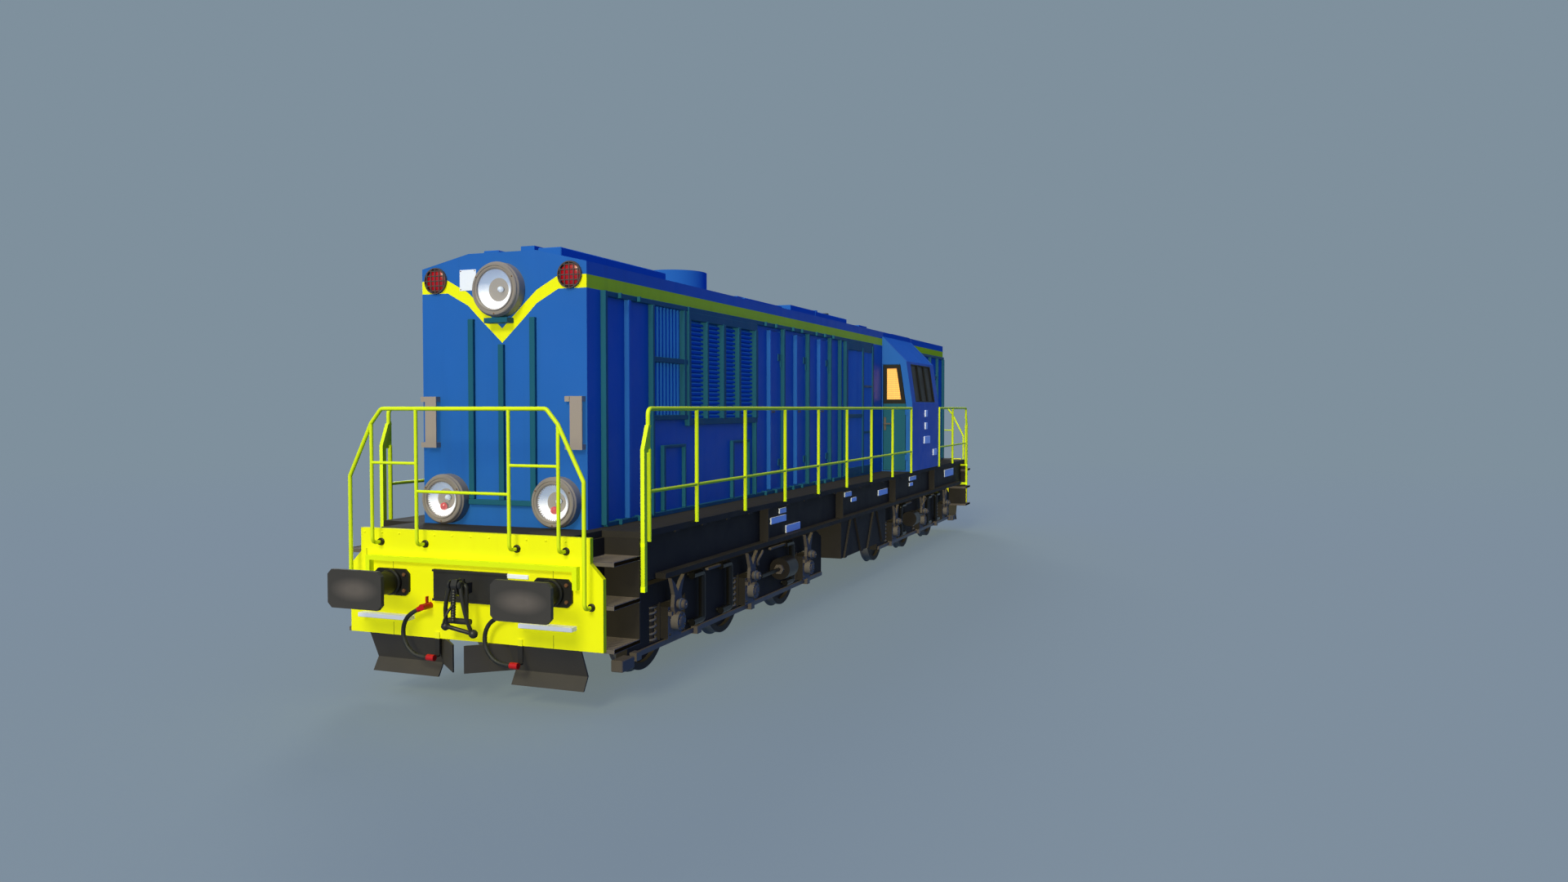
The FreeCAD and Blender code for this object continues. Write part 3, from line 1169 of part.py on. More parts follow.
def make_cock(side):
    """Pipe stub out of the headstock with its handle, and the nozzle that the hose is on."""
    nozzle = rod("nozzle", "cock_x", side, "cock_z", "nozzle_dia", "nozzle_length")
    nozzle.Placement.Rotation = FreeCAD.Rotation(FreeCAD.Vector(1, 0, 0), 90 + number("nozzle_fall"))
    return fused("cock", [
        rod("stub", "headstock_face", side, "cock_z", "cock_dia", "cock_reach + cock_dia / 2", "x"),
        box("cock_handle", "headstock_face + cock_reach / 3", side + " - 6", "cock_z", "30", "12",
            "cock_dia / 2 + 60"),
        nozzle])


def make_hanger(side):
    """Strap down from the headstock, its arm, and the hose's coupling head on the arm."""
    y, z = hose_mouth(side)
    y, z = "%s + %d" % (y, HOSE_ROUTE[-1][0]), "%s + (%d)" % (z, HOSE_ROUTE[-1][1])
    foot = z + " - hanger_thick / 2"
    return fused("hanger", [
        box("strap_down", "headstock_face", y + " + 15", foot, "hanger_thick", "hanger_width",
            "foot_z + hanger_rise - (%s)" % foot),
        box("arm", "headstock_face", y + " + 15", foot, "cock_reach", "hanger_width", "hanger_thick"),
        rod("coupling_head", "cock_x", y, z, "head_dia", "head_length", "y")])


def check_and_write():
    document.recompute()
    for thing in document.Objects:
        if "Invalid" in thing.State or "Error" in thing.State:
            raise RuntimeError("%s (%s) failed: %s" % (thing.Name, thing.Label, thing.State))
    for thing in NODES:
        if thing.Shape.isNull() or not thing.Shape.isValid():
            raise RuntimeError("bad shape in " + thing.Label)
    os.makedirs("parts", exist_ok=True)
    for thing in NODES:
        thing.Shape.exportStep("parts/%s.step" % thing.Label)
        print(thing.Label, "solids", len(thing.Shape.Solids), "volume",
              round(thing.Shape.Volume / 1e9, 4))
    print(len(NODES), "nodes")


fill_sheet()
make_wheelsets(make_wheelset())
make_bogies()
make_deck()
make_side_sills()
make_centre_sill()
make_headstocks()
make_buffers()
make_draw_gear()
make_ploughs()
make_steps()
make_tank()
make_hood_sides()
make_engine_doors()
make_hood_front_and_roof()
make_rear_hood()
make_louvres()
make_cab_ends()
make_cab_doors()
make_cab_shell()
make_glass()
make_cab_inside()
make_side_railings()
make_end_railings()
make_lamps()
make_fan()
make_roof_fittings()
make_engine()
make_handles()
make_hoses()
check_and_write()
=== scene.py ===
import math

import bpy
import numpy as np
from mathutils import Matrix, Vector


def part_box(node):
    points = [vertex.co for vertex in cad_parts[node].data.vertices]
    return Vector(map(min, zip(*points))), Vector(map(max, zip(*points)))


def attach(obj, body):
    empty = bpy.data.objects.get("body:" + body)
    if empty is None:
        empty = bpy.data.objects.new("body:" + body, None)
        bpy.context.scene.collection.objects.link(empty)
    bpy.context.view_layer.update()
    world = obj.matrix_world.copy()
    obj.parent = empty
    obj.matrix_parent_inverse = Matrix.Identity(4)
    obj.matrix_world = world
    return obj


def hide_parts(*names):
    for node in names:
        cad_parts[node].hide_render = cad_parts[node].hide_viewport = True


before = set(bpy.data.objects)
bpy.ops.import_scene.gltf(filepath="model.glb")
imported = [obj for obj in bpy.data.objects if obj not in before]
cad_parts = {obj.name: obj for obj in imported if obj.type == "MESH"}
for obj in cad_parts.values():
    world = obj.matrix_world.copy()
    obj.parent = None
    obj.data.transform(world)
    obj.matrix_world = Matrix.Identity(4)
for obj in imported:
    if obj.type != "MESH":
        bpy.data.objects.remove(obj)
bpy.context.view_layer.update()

scene = bpy.context.scene
print("frame:", len(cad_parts), "nodes")


def corner(node):
    low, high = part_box(node)
    return np.array(low), np.array(high)


# up from the deck to the cab's window sills, out from the deck's end to the beam's face, and in
# from a buffer's outer edge to its middle
beltRise, headPlate, bufferHalf = 1.21, 0.05, 0.3

# places taken from the frame
hoodTop, deckHigh = corner("hood_front")[1], corner("deck")[1]
bufferLow, bufferHigh = corner("buffers")
place = {
    "hoodFront": hoodTop[0], "hoodHalf": hoodTop[1], "crown": hoodTop[2],
    "deck": deckHigh[2], "frameHalf": deckHigh[1], "frameEnd": corner("side_sills")[1][0],
    "eave": corner("hood_roof")[0][2], "cabFront": corner("hood_roof")[0][0],
    "cabRear": corner("rear_hood")[1][0], "cabHalf": corner("cab_sides")[1][1],
    "sill": corner("side_sills")[0][2], "belt": deckHigh[2] + beltRise,
    "headFace": deckHigh[0] + headPlate, "bufferFace": bufferHigh[0],
    "bufferZ": (bufferLow[2] + bufferHigh[2]) / 2, "bufferY": bufferHigh[1] - bufferHalf,
    "axle": (corner("wheelset_1")[0][2] + corner("wheelset_1")[1][2]) / 2,
    "foot": corner("headstocks")[0][2],
}
axles = [sum(corner("wheelset_%d" % k))[0] / 2 for k in range(1, 7)]
axlePitch = np.array([2.0, 0.0, -2.0])
bogies = {"bogie_front": axles[1], "bogie_rear": axles[4]}
body = "locomotive_body"
print({key: round(float(value), 3) for key, value in place.items()})

# camera, floor and light
view = {"ahead": 7.716, "side": 6.165, "height": 2.717, "turn": 0.36215, "tilt": 0.03053,
        "lens": 25.02}
studio = {
    "backdrop": (0.212, 0.279, 0.337), "floor": (0.300, 0.345, 0.316), "floorHalf": 120,
    "bounce": (0.05, 0.13, 0.30),
    "fill": (0.02, 0.16, 1.0), "fillStrength": 0.60,
    "key": (1.0, 0.985, 0.66), "keyStrength": 1.20, "keyFrom": (0.82, 0.03, 0.55),
    "open": (1.0, 0.985, 0.66), "openStrength": 1.94, "openFrom": (0.82, 0.0, 0.52),
    "back": (0.9, 0.95, 1.0), "backStrength": 0.9, "backFrom": (-0.75, -0.45, 0.5),
    "soft": 0.30, "fadeStart": 11.0, "fadeEnd": 42.0, "fadeNear": 0.45,
}


def makeCamera():
    lens = bpy.data.cameras.new("camera")
    lens.lens = view["lens"]
    lens.clip_end = 500
    camera = bpy.data.objects.new("camera", lens)
    scene.collection.objects.link(camera)
    camera.location = (place["bufferFace"] + view["ahead"], view["side"], view["height"])
    level = math.cos(view["tilt"])
    ahead = Vector((-math.cos(view["turn"]) * level, -math.sin(view["turn"]) * level,
                    -math.sin(view["tilt"])))
    camera.rotation_euler = ahead.to_track_quat("-Z", "Y").to_euler()
    scene.camera = camera


def makeSun(name, colour, strength, source, shade=True):
    lamp = bpy.data.lights.new(name, "SUN")
    lamp.color, lamp.energy, lamp.angle = colour, strength, studio["soft"]
    lamp.use_shadow = shade
    sun = bpy.data.objects.new(name, lamp)
    scene.collection.objects.link(sun)
    sun.rotation_euler = Vector(source).to_track_quat("Z", "Y").to_euler()


# node helpers
def wire(tree, value, socket):
    if isinstance(value, bpy.types.NodeSocket):
        tree.links.new(value, socket)
    elif value is not None:
        socket.default_value = value


def calc(tree, operation, *values):
    node = tree.nodes.new("ShaderNodeMath")
    node.operation = operation
    for socket, value in zip(node.inputs, values):
        wire(tree, value, socket)
    return node.outputs[0]


def above(tree, value, limit):
    return calc(tree, "GREATER_THAN", value, limit)


def below(tree, value, limit):
    return calc(tree, "LESS_THAN", value, limit)


def unsigned(tree, value):
    return calc(tree, "ABSOLUTE", value)


def times(tree, first, second):
    return calc(tree, "MULTIPLY", first, second)


def radial(tree, across, upright):
    # distance from the middle: root of across squared and upright squared added
    squares = calc(tree, "ADD", times(tree, across, across), times(tree, upright, upright))
    return calc(tree, "SQRT", squares)


def within(tree, value, low, high):
    return calc(tree, "COMPARE", value, (low + high) / 2, (high - low) / 2)


def both(tree, first, *masks):
    for mask in masks:
        first = times(tree, first, mask)
    return first


def either(tree, first, *masks):
    for mask in masks:
        first = calc(tree, "MAXIMUM", first, mask)
    return first


def pick(tree, mask, first, second):
    # first colour where the mask is 0, second where it is 1
    node = tree.nodes.new("ShaderNodeMix")
    node.data_type = "RGBA"
    wire(tree, mask, node.inputs[0])
    wire(tree, first, node.inputs[6])
    wire(tree, second, node.inputs[7])
    return node.outputs[2]


def ramp(tree, value, start, end, low=0.0, high=1.0):
    node = tree.nodes.new("ShaderNodeMapRange")
    wire(tree, value, node.inputs[0])
    for socket, number in zip(node.inputs[1:5], (start, end, low, high)):
        socket.default_value = number
    return node.outputs[0]


def objectCoords(tree):
    return tree.nodes.new("ShaderNodeTexCoord").outputs["Object"]


def objectAxes(tree):
    split = tree.nodes.new("ShaderNodeSeparateXYZ")
    tree.links.new(objectCoords(tree), split.inputs[0])
    return split.outputs[0], split.outputs[1], split.outputs[2]


def noise(tree, coords, scale, detail=3.0, stretch=(1, 1, 1)):
    mapping = tree.nodes.new("ShaderNodeMapping")
    tree.links.new(coords, mapping.inputs[0])
    mapping.inputs["Scale"].default_value = stretch
    node = tree.nodes.new("ShaderNodeTexNoise")
    tree.links.new(mapping.outputs[0], node.inputs["Vector"])
    wire(tree, scale, node.inputs["Scale"])
    node.inputs["Detail"].default_value = detail
    return node.outputs[0]


def addRelief(tree, shader, height, distance, strength=1.0):
    relief = tree.nodes.new("ShaderNodeBump")
    relief.inputs["Strength"].default_value = strength
    relief.inputs["Distance"].default_value = distance
    wire(tree, height, relief.inputs["Height"])
    wire(tree, relief.outputs[0], shader.inputs["Normal"])


def seenDirectly(tree):
    # 1 for what is seen straight, in a gloss or through glass, 0 for light that bounces
    ray = tree.nodes.new("ShaderNodeLightPath").outputs
    return either(tree, ray["Is Camera Ray"], ray["Is Glossy Ray"], ray["Is Transmission Ray"])


def blendShaders(tree, mask, first, second, target):
    mixer = tree.nodes.new("ShaderNodeMixShader")
    wire(tree, mask, mixer.inputs[0])
    tree.links.new(first.outputs[0], mixer.inputs[1])
    tree.links.new(second.outputs[0], mixer.inputs[2])
    tree.links.new(mixer.outputs[0], tree.nodes[target].inputs[0])


def tone(red, green, blue):
    # a display colour of 0 to 255 as linear light
    parts = []
    for part in (red / 255, green / 255, blue / 255):
        parts.append(part / 12.92 if part <= 0.04045 else ((part + 0.055) / 1.055) ** 2.4)
    return (*parts, 1.0)


# shared effect: aged paint
def buildAging():
    group = bpy.data.node_groups.new("agedPaint", "ShaderNodeTree")
    sockets = [("Colour", "NodeSocketColor", (0.5, 0.5, 0.5, 1)),
               ("Dust Colour", "NodeSocketColor", tone(120, 108, 92)),
               ("Dust", "NodeSocketFloat", 0.2), ("Streaks", "NodeSocketFloat", 0.1),
               ("Grain", "NodeSocketFloat", 60.0), ("Gloss Break", "NodeSocketFloat", 0.45)]
    for label, kind, value in sockets:
        group.interface.new_socket(label, in_out="INPUT", socket_type=kind).default_value = value
    for label, kind in (("Colour", "NodeSocketColor"), ("Roughness", "NodeSocketFloat"),
                        ("Height", "NodeSocketFloat")):
        group.interface.new_socket(label, in_out="OUTPUT", socket_type=kind)
    inside = group.nodes.new("NodeGroupInput").outputs
    outside = group.nodes.new("NodeGroupOutput").inputs
    coords, height = objectCoords(group), objectAxes(group)[2]
    cloud = noise(group, coords, 0.9, 5.0)
    fine = noise(group, coords, inside["Grain"], 2.0)
    blotch = noise(group, coords, 4.5, 6.0)
    rain = noise(group, coords, 1.0, 4.0, (9.0, 9.0, 0.45))  # drawn out downwards
    facing = group.nodes.new("ShaderNodeNewGeometry")
    split = group.nodes.new("ShaderNodeSeparateXYZ")
    group.links.new(facing.outputs["Normal"], split.inputs[0])
    upward = ramp(group, split.outputs[2], 0.3, 1.0)
    lowDown = ramp(group, height, 1.5, 0.2)
    # dust lies on what faces up and on what is low, in patches
    settled = calc(group, "ADD", times(group, upward, 0.55), lowDown)
    settled = times(group, settled, ramp(group, blotch, 0.35, 0.7, 0.35, 1.0))
    dust = times(group, settled, inside["Dust"])
    streak = times(group, ramp(group, rain, 0.52, 0.75), inside["Streaks"])
    varied = ramp(group, cloud, 0.3, 0.7, -0.05, 0.05)
    bright = group.nodes.new("ShaderNodeHueSaturation")
    wire(group, inside["Colour"], bright.inputs["Color"])
    wire(group, calc(group, "ADD", varied, 1.0), bright.inputs["Value"])
    streaked = pick(group, streak, bright.outputs[0], tone(30, 28, 26))
    wire(group, pick(group, dust, streaked, inside["Dust Colour"]), outside["Colour"])
    rough = calc(group, "ADD", inside["Gloss Break"], times(group, dust, 0.5))
    patches = ramp(group, blotch, 0.3, 0.7, -0.05, 0.05)
    rough = calc(group, "ADD", rough, patches)
    wire(group, calc(group, "MINIMUM", rough, 0.95), outside["Roughness"])
    relief = calc(group, "ADD", times(group, fine, 0.7), times(group, blotch, 0.5))
    wire(group, relief, outside["Height"])
    return group


aging = buildAging()


def newMaterial(name):
    material = bpy.data.materials.new(name)
    material.use_nodes = True
    tree = material.node_tree
    return material, tree, tree.nodes["Principled BSDF"]


def paint(name, colour, dust=0.18, streaks=0.08, grain=70.0, gloss=0.42, bump=0.0015, shine=0.18,
          painter=None):
    # painter(tree, x, y, z) gives the colour of a piece with more than one finish
    material, tree, shader = newMaterial(name)
    layer = tree.nodes.new("ShaderNodeGroup")
    layer.node_tree = aging
    if painter:
        wire(tree, painter(tree, *objectAxes(tree)), layer.inputs["Colour"])
    else:
        layer.inputs["Colour"].default_value = colour
    for label, value in (("Dust", dust), ("Streaks", streaks), ("Grain", grain),
                         ("Gloss Break", gloss)):
        layer.inputs[label].default_value = value
    wire(tree, layer.outputs["Colour"], shader.inputs["Base Color"])
    wire(tree, layer.outputs["Roughness"], shader.inputs["Roughness"])
    addRelief(tree, shader, layer.outputs["Height"], bump, 0.35)
    shader.inputs["Specular IOR Level"].default_value = shine
    return material


# colours
colours = {
    "blue": tone(38, 102, 178), "teal": tone(28, 92, 110), "yellow": tone(255, 252, 6),
    # the greener yellow of rails and guard bars is the yellow with painted shade mixed in
    "shadeTintedYellow": tone(236, 252, 8), "frame": tone(43, 38, 33), "bogie": tone(42, 37, 32),
    "trim": tone(106, 95, 84), "plateGrey": tone(168, 152, 136), "black": tone(22, 21, 19),
    "plate": tone(250, 250, 250), "red": tone(190, 14, 14), "gasket": tone(40, 37, 32),
    "rubber": tone(15, 16, 18), "iron": tone(40, 38, 36), "blade": tone(62, 58, 53),
    "rust": tone(112, 74, 44), "deck": tone(50, 45, 38), "headWearAndHighlight": tone(124, 112, 100),
    "boxCap": tone(120, 110, 98),
}
stripeLow, stripeHigh = 0.245, 0.117  # under the eave
stripe = {"low": place["eave"] - stripeLow, "high": place["eave"] - stripeHigh, "half": 0.062,
          "tipHalf": 0.0675, "tipEnd": 0.25, "level": 0.62, "knee": 0.385, "kneeDrop": 0.125,
          "tipDrop": 0.4825}
guardBarRise = 0.03
# pale oval on each buffer head: wear and a painted highlight
bufferWearAndHighlight = {"across": 0.24, "upright": 0.10, "start": 0.35, "end": 1.15, "headDeep": 0.05,
              "strength": 0.5}
treadBands = {"pitch": 0.38, "low": 0.26, "high": 0.215}
boxBands = {"face": 1.2195, "capTop": 0.072}
brakeBands = {"rodTop": 0.40, "nut": (3.4603, 3.501), "nutHeight": (0.60, 0.775),
              "drum": (3.12, 3.4602), "drumFoot": 0.54}
glassBand = {"low": 0.02, "high": 0.70, "rear": 0.31, "front": 0.275, "doorDrop": 0.01}
hoseBands = {"strapTop": 0.062, "armEnd": 0.066, "headTop": 0.118, "strapThick": 0.0125}
skin = 0.002  # how far past a face the painters look for what stands proud of it


def stripeMask(tree, y, z):
    # the band runs level on the sides and drops in two slopes to a point in the middle of each end
    away = unsigned(tree, y)
    middle = (stripe["low"] + stripe["high"]) / 2
    inner = ramp(tree, away, 0.0, stripe["knee"], middle - stripe["tipDrop"],
                 middle - stripe["kneeDrop"])
    outer = ramp(tree, away, stripe["knee"], stripe["level"], 0.0, stripe["kneeDrop"])
    half = ramp(tree, away, stripe["tipEnd"], stripe["knee"], stripe["tipHalf"], stripe["half"])
    return calc(tree, "COMPARE", z, calc(tree, "ADD", inner, outer), half)


def paintHood(tree, x, y, z):
    # battens under the band are teal
    proud = both(tree, above(tree, unsigned(tree, y), place["hoodHalf"] + skin),
                 below(tree, z, stripe["low"]))
    base = pick(tree, stripeMask(tree, y, z), colours["blue"], colours["yellow"])
    return pick(tree, proud, base, colours["teal"])


def paintHeadstocks(tree, x, y, z):
    # the guard bars stand proud of the beam in a greener yellow: the beam's yellow with painted
    # shade mixed in
    bars = both(tree, above(tree, unsigned(tree, x), place["headFace"] + skin),
                above(tree, z, place["sill"] + guardBarRise))
    return pick(tree, bars, colours["yellow"], colours["shadeTintedYellow"])


def paintBuffers(tree, x, y, z):
    # each head is paler in an oval around its middle: wear, and a painted highlight
    out = unsigned(tree, x)
    across = calc(tree, "SUBTRACT", unsigned(tree, y), place["bufferY"])
    upright = calc(tree, "SUBTRACT", z, place["bufferZ"])
    away = radial(tree, calc(tree, "DIVIDE", across, bufferWearAndHighlight["across"]),
                  calc(tree, "DIVIDE", upright, bufferWearAndHighlight["upright"]))
    # worn: the pale oval, wear with a painted highlight
    worn = both(tree, above(tree, out, place["bufferFace"] - skin),
                ramp(tree, away, bufferWearAndHighlight["end"], bufferWearAndHighlight["start"]))
    head = above(tree, out, place["bufferFace"] - bufferWearAndHighlight["headDeep"])
    base = pick(tree, head, colours["black"], colours["blade"])
    return pick(tree, times(tree, worn, bufferWearAndHighlight["strength"]), base, colours["headWearAndHighlight"])


def paintSteps(tree, x, y, z):
    # the three treads are lighter than the box around them
    tops = [place["deck"] - treadBands["pitch"] * k for k in range(3)]
    masks = [within(tree, z, top - treadBands["low"], top - treadBands["high"]) for top in tops]
    return pick(tree, either(tree, *masks), colours["frame"], colours["trim"])


def paintAxleboxes(tree, x, y, z):
    bracket = above(tree, unsigned(tree, y), boxBands["face"])
    cap = both(tree, bracket, below(tree, z, place["axle"] + boxBands["capTop"]))
    base = pick(tree, bracket, colours["bogie"], colours["trim"])
    return pick(tree, cap, base, colours["boxCap"])


def paintBrakes(tree, x, y, z):
    # dark cylinder in black gear, with a lighter nut and a lighter pull rod along the foot
    out = unsigned(tree, x)
    rod = below(tree, z, brakeBands["rodTop"])
    nut = both(tree, within(tree, out, *brakeBands["nut"]),
               within(tree, z, *brakeBands["nutHeight"]))
    drum = both(tree, within(tree, out, *brakeBands["drum"]),
                above(tree, z, brakeBands["drumFoot"]))
    base = pick(tree, drum, colours["black"], colours["bogie"])
    return pick(tree, rod, pick(tree, nut, base, colours["trim"]), colours["trim"])


def paintCabWalls(tree, x, y, z):
    # the side windows sit in one black band
    low, high = place["belt"] + glassBand["low"], place["belt"] + glassBand["high"]
    rear, front = place["cabRear"] + glassBand["rear"], place["cabFront"] - glassBand["front"]
    band = both(tree, within(tree, z, low, high), within(tree, x, rear, front))
    return pick(tree, band, colours["blue"], colours["rubber"])


def paintCabDoor(tree, x, y, z):
    return pick(tree, above(tree, z, place["belt"] - glassBand["doorDrop"]), colours["teal"],
                colours["gasket"])


def paintFittings(tree, x, y, z):
    # red cock and coupling head, dark strap and arm between them
    out = unsigned(tree, x)
    dark = both(tree, below(tree, z, place["foot"] + hoseBands["strapTop"]),
                either(tree, below(tree, out, place["headFace"] + hoseBands["armEnd"]),
                       above(tree, z, place["foot"] - hoseBands["headTop"])))
    strap = both(tree, above(tree, z, place["foot"]),
                 below(tree, out, place["headFace"] + hoseBands["strapThick"]))
    return pick(tree, both(tree, strap, dark), pick(tree, dark, colours["red"], colours["iron"]),
                colours["yellow"])


materials = {
    "hood": paint("hoodPaint", None, painter=paintHood, dust=0.03, streaks=0.06, gloss=0.5),
    "hoodRoof": paint("hoodRoofPaint", None, painter=paintHood, dust=0.05, streaks=0.02, gloss=0.8,
                      shine=0.1),
    "roof": paint("roofPaint", colours["blue"], dust=0.05, streaks=0.02, gloss=0.8, shine=0.1),
    "blue": paint("bluePaint", colours["blue"], dust=0.03, streaks=0.05, gloss=0.5),
    "teal": paint("tealPaint", colours["teal"], dust=0.04, streaks=0.06, gloss=0.55),
    "shadeTintedYellow": paint("railYellow", colours["shadeTintedYellow"], dust=0.03, streaks=0.03, gloss=0.45, shine=0.3),
    "headstocks": paint("beamYellow", None, painter=paintHeadstocks, dust=0.015, streaks=0.02,
                        gloss=0.5),
    "yellow": paint("warningYellow", colours["yellow"], dust=0.015, streaks=0.02, gloss=0.5),
    "frame": paint("framePaint", colours["frame"], dust=0.10, gloss=0.66, grain=120.0),
    "deck": paint("deckPaint", colours["deck"], dust=0.10, grain=220.0, gloss=0.75, bump=0.003),
    "bogie": paint("bogiePaint", colours["bogie"], dust=0.10, grain=150.0, gloss=0.7, bump=0.003),
    "axleboxes": paint("axleboxPaint", None, painter=paintAxleboxes, dust=0.10,
                       gloss=0.6, bump=0.002),
    "brakes": paint("brakePaint", None, painter=paintBrakes, dust=0.03, gloss=0.34, bump=0.001,
                    shine=0.25),
    "buffers": paint("bufferPaint", None, painter=paintBuffers, dust=0.05, gloss=0.5, bump=0.002,
                     shine=0.3),
    "iron": paint("forgedIron", colours["iron"], dust=0.08, grain=160.0, gloss=0.45, bump=0.003,
                  shine=0.4),
    "louvres": paint("louvrePaint", colours["blue"], dust=0.02, streaks=0.02,
                     gloss=0.85, shine=0.03),
    "blade": paint("ploughPaint", colours["blade"], dust=0.08, grain=120.0, gloss=0.6, bump=0.002),
    "steps": paint("stepPaint", None, painter=paintSteps, dust=0.10, gloss=0.66),
    "cab": paint("cabPaint", None, painter=paintCabWalls, dust=0.05, streaks=0.08, gloss=0.5),
    "cabDoor": paint("cabDoorPaint", None, painter=paintCabDoor, dust=0.04, gloss=0.5),
    "trim": paint("trimPaint", colours["trim"], dust=0.06, gloss=0.5, bump=0.001),
    "grab": paint("grabPaint", colours["plateGrey"], dust=0.05, gloss=0.5, bump=0.001),
    "lampShell": paint("lampShell", tone(150, 138, 124), dust=0.05, gloss=0.42,
                       bump=0.001, shine=0.4),
    "black": paint("blackPaint", colours["black"], dust=0.06, gloss=0.42, shine=0.35),
    "gasket": paint("windowRubber", colours["gasket"], dust=0.04, gloss=0.7, grain=200.0),
    "plate": paint("blankPlate", colours["plate"], dust=0.03, streaks=0.02, gloss=0.5),
    "fittings": paint("fittingPaint", None, painter=paintFittings, dust=0.04,
                      gloss=0.4, shine=0.35),
    "rust": paint("rustyBolt", colours["rust"], dust=0.1, grain=300.0, gloss=0.75, bump=0.002),
    "engine": paint("enginePaint", tone(120, 126, 128), dust=0.15, gloss=0.5),
    "desk": paint("deskPaint", tone(70, 74, 78), dust=0.02, gloss=0.55, grain=300.0),
}
print("materials:", len(materials))


def makeRubber():
    material, tree, shader = newMaterial("hoseRubber")
    coords = objectCoords(tree)
    cloth = tree.nodes.new("ShaderNodeTexNoise")
    cloth.inputs["Scale"].default_value = 180.0
    wire(tree, coords, cloth.inputs["Vector"])
    worn = noise(tree, coords, 14.0, 5.0)
    wire(tree, pick(tree, ramp(tree, worn, 0.45, 0.75), tone(22, 22, 24), tone(52, 50, 48)),
         shader.inputs["Base Color"])
    wire(tree, ramp(tree, worn, 0.3, 0.7, 0.5, 0.72), shader.inputs["Roughness"])
    addRelief(tree, shader, cloth.outputs[0], 0.001, 0.5)
    return material


materials["rubber"] = makeRubber()

# brake hoses
hoseSizes = {
    "diameter": 0.040, "headRun": 0.10, "mouthLift": 0.0181,
    # sideways and down from the nozzle's mouth
    "route": [(0, 0), (-0.0906, -0.0423), (-0.154, -0.120), (-0.176, -0.217), (-0.153, -0.314),
              (-0.090, -0.392), (0, -0.434), (0.100, -0.434)],
}


def routePoints(node):
    low, high = corner(node)
    end = 1 if low[0] > 0 else -1
    mouthY = (high[1] if end > 0 else -low[1]) - hoseSizes["headRun"]
    route = np.array(hoseSizes["route"])
    points = np.empty((len(route), 3))
    points[:, 0] = (low[0] + high[0]) / 2
    points[:, 1] = end * (mouthY + route[:, 0])
    points[:, 2] = high[2] - hoseSizes["mouthLift"] + route[:, 1]
    return points


def splineOf(name, points, radius=0.0):
    curve = bpy.data.curves.new(name, "CURVE")
    curve.dimensions = "3D"
    curve.bevel_depth = radius
    curve.bevel_resolution = 5
    curve.use_fill_caps = radius > 0
    spline = curve.splines.new("NURBS")
    spline.points.add(len(points) - 1)
    spline.points.foreach_set("co", np.hstack([points, np.ones((len(points), 1))]).ravel())
    spline.order_u = 3
    spline.use_endpoint_u = True
    spline.resolution_u = 12
    return curve


def alongSpline(points):
    # points read from the cord's own spline
    curve = splineOf("measure", points)
    thing = bpy.data.objects.new("measure", curve)
    mesh = bpy.data.meshes.new_from_object(thing)
    path = np.empty(len(mesh.vertices) * 3)
    mesh.vertices.foreach_get("co", path)
    bpy.data.objects.remove(thing)
    bpy.data.meshes.remove(mesh)
    bpy.data.curves.remove(curve)
    return path.reshape(-1, 3)


def makeHose(node):
    points = routePoints(node)
    path = alongSpline(points)
    name = node + "_rubber"
    hose = bpy.data.objects.new(name, splineOf(name, points, hoseSizes["diameter"] / 2))
    scene.collection.objects.link(hose)
    hose.data.materials.append(materials["rubber"])
    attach(hose, body)
    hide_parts(node)


makeCamera()
hoseNodes = sorted(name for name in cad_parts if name.startswith("brake_hose"))
for name in hoseNodes:
    makeHose(name)
print("hoses:", hoseNodes)


# surface helpers
def addMesh(name, verts, faces, material, rides=body, sharp=32.0):
    # where the volume, the sum of a . (b x c) / 6 over triangles, is negative the faces are turned
    verts = np.asarray(verts, float).reshape(-1, 3)
    fans = [(face[0], face[k], face[k + 1]) for face in faces for k in range(1, len(face) - 1)]
    a, b, c = (verts[corners] - verts.mean(0) for corners in np.array(fans).T)
    if np.einsum("ij,ij->", a, np.cross(b, c)) < 0:
        faces = [list(face)[::-1] for face in faces]
    mesh = bpy.data.meshes.new(name)
    mesh.from_pydata(verts.tolist(), [], faces)
    mesh.materials.append(material)
    mesh.polygons.foreach_set("use_smooth", np.ones(len(mesh.polygons), bool))
    mesh.set_sharp_from_angle(angle=math.radians(sharp))
    mesh.update()
    piece = bpy.data.objects.new(name, mesh)
    scene.collection.objects.link(piece)
    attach(piece, rides)
    return piece


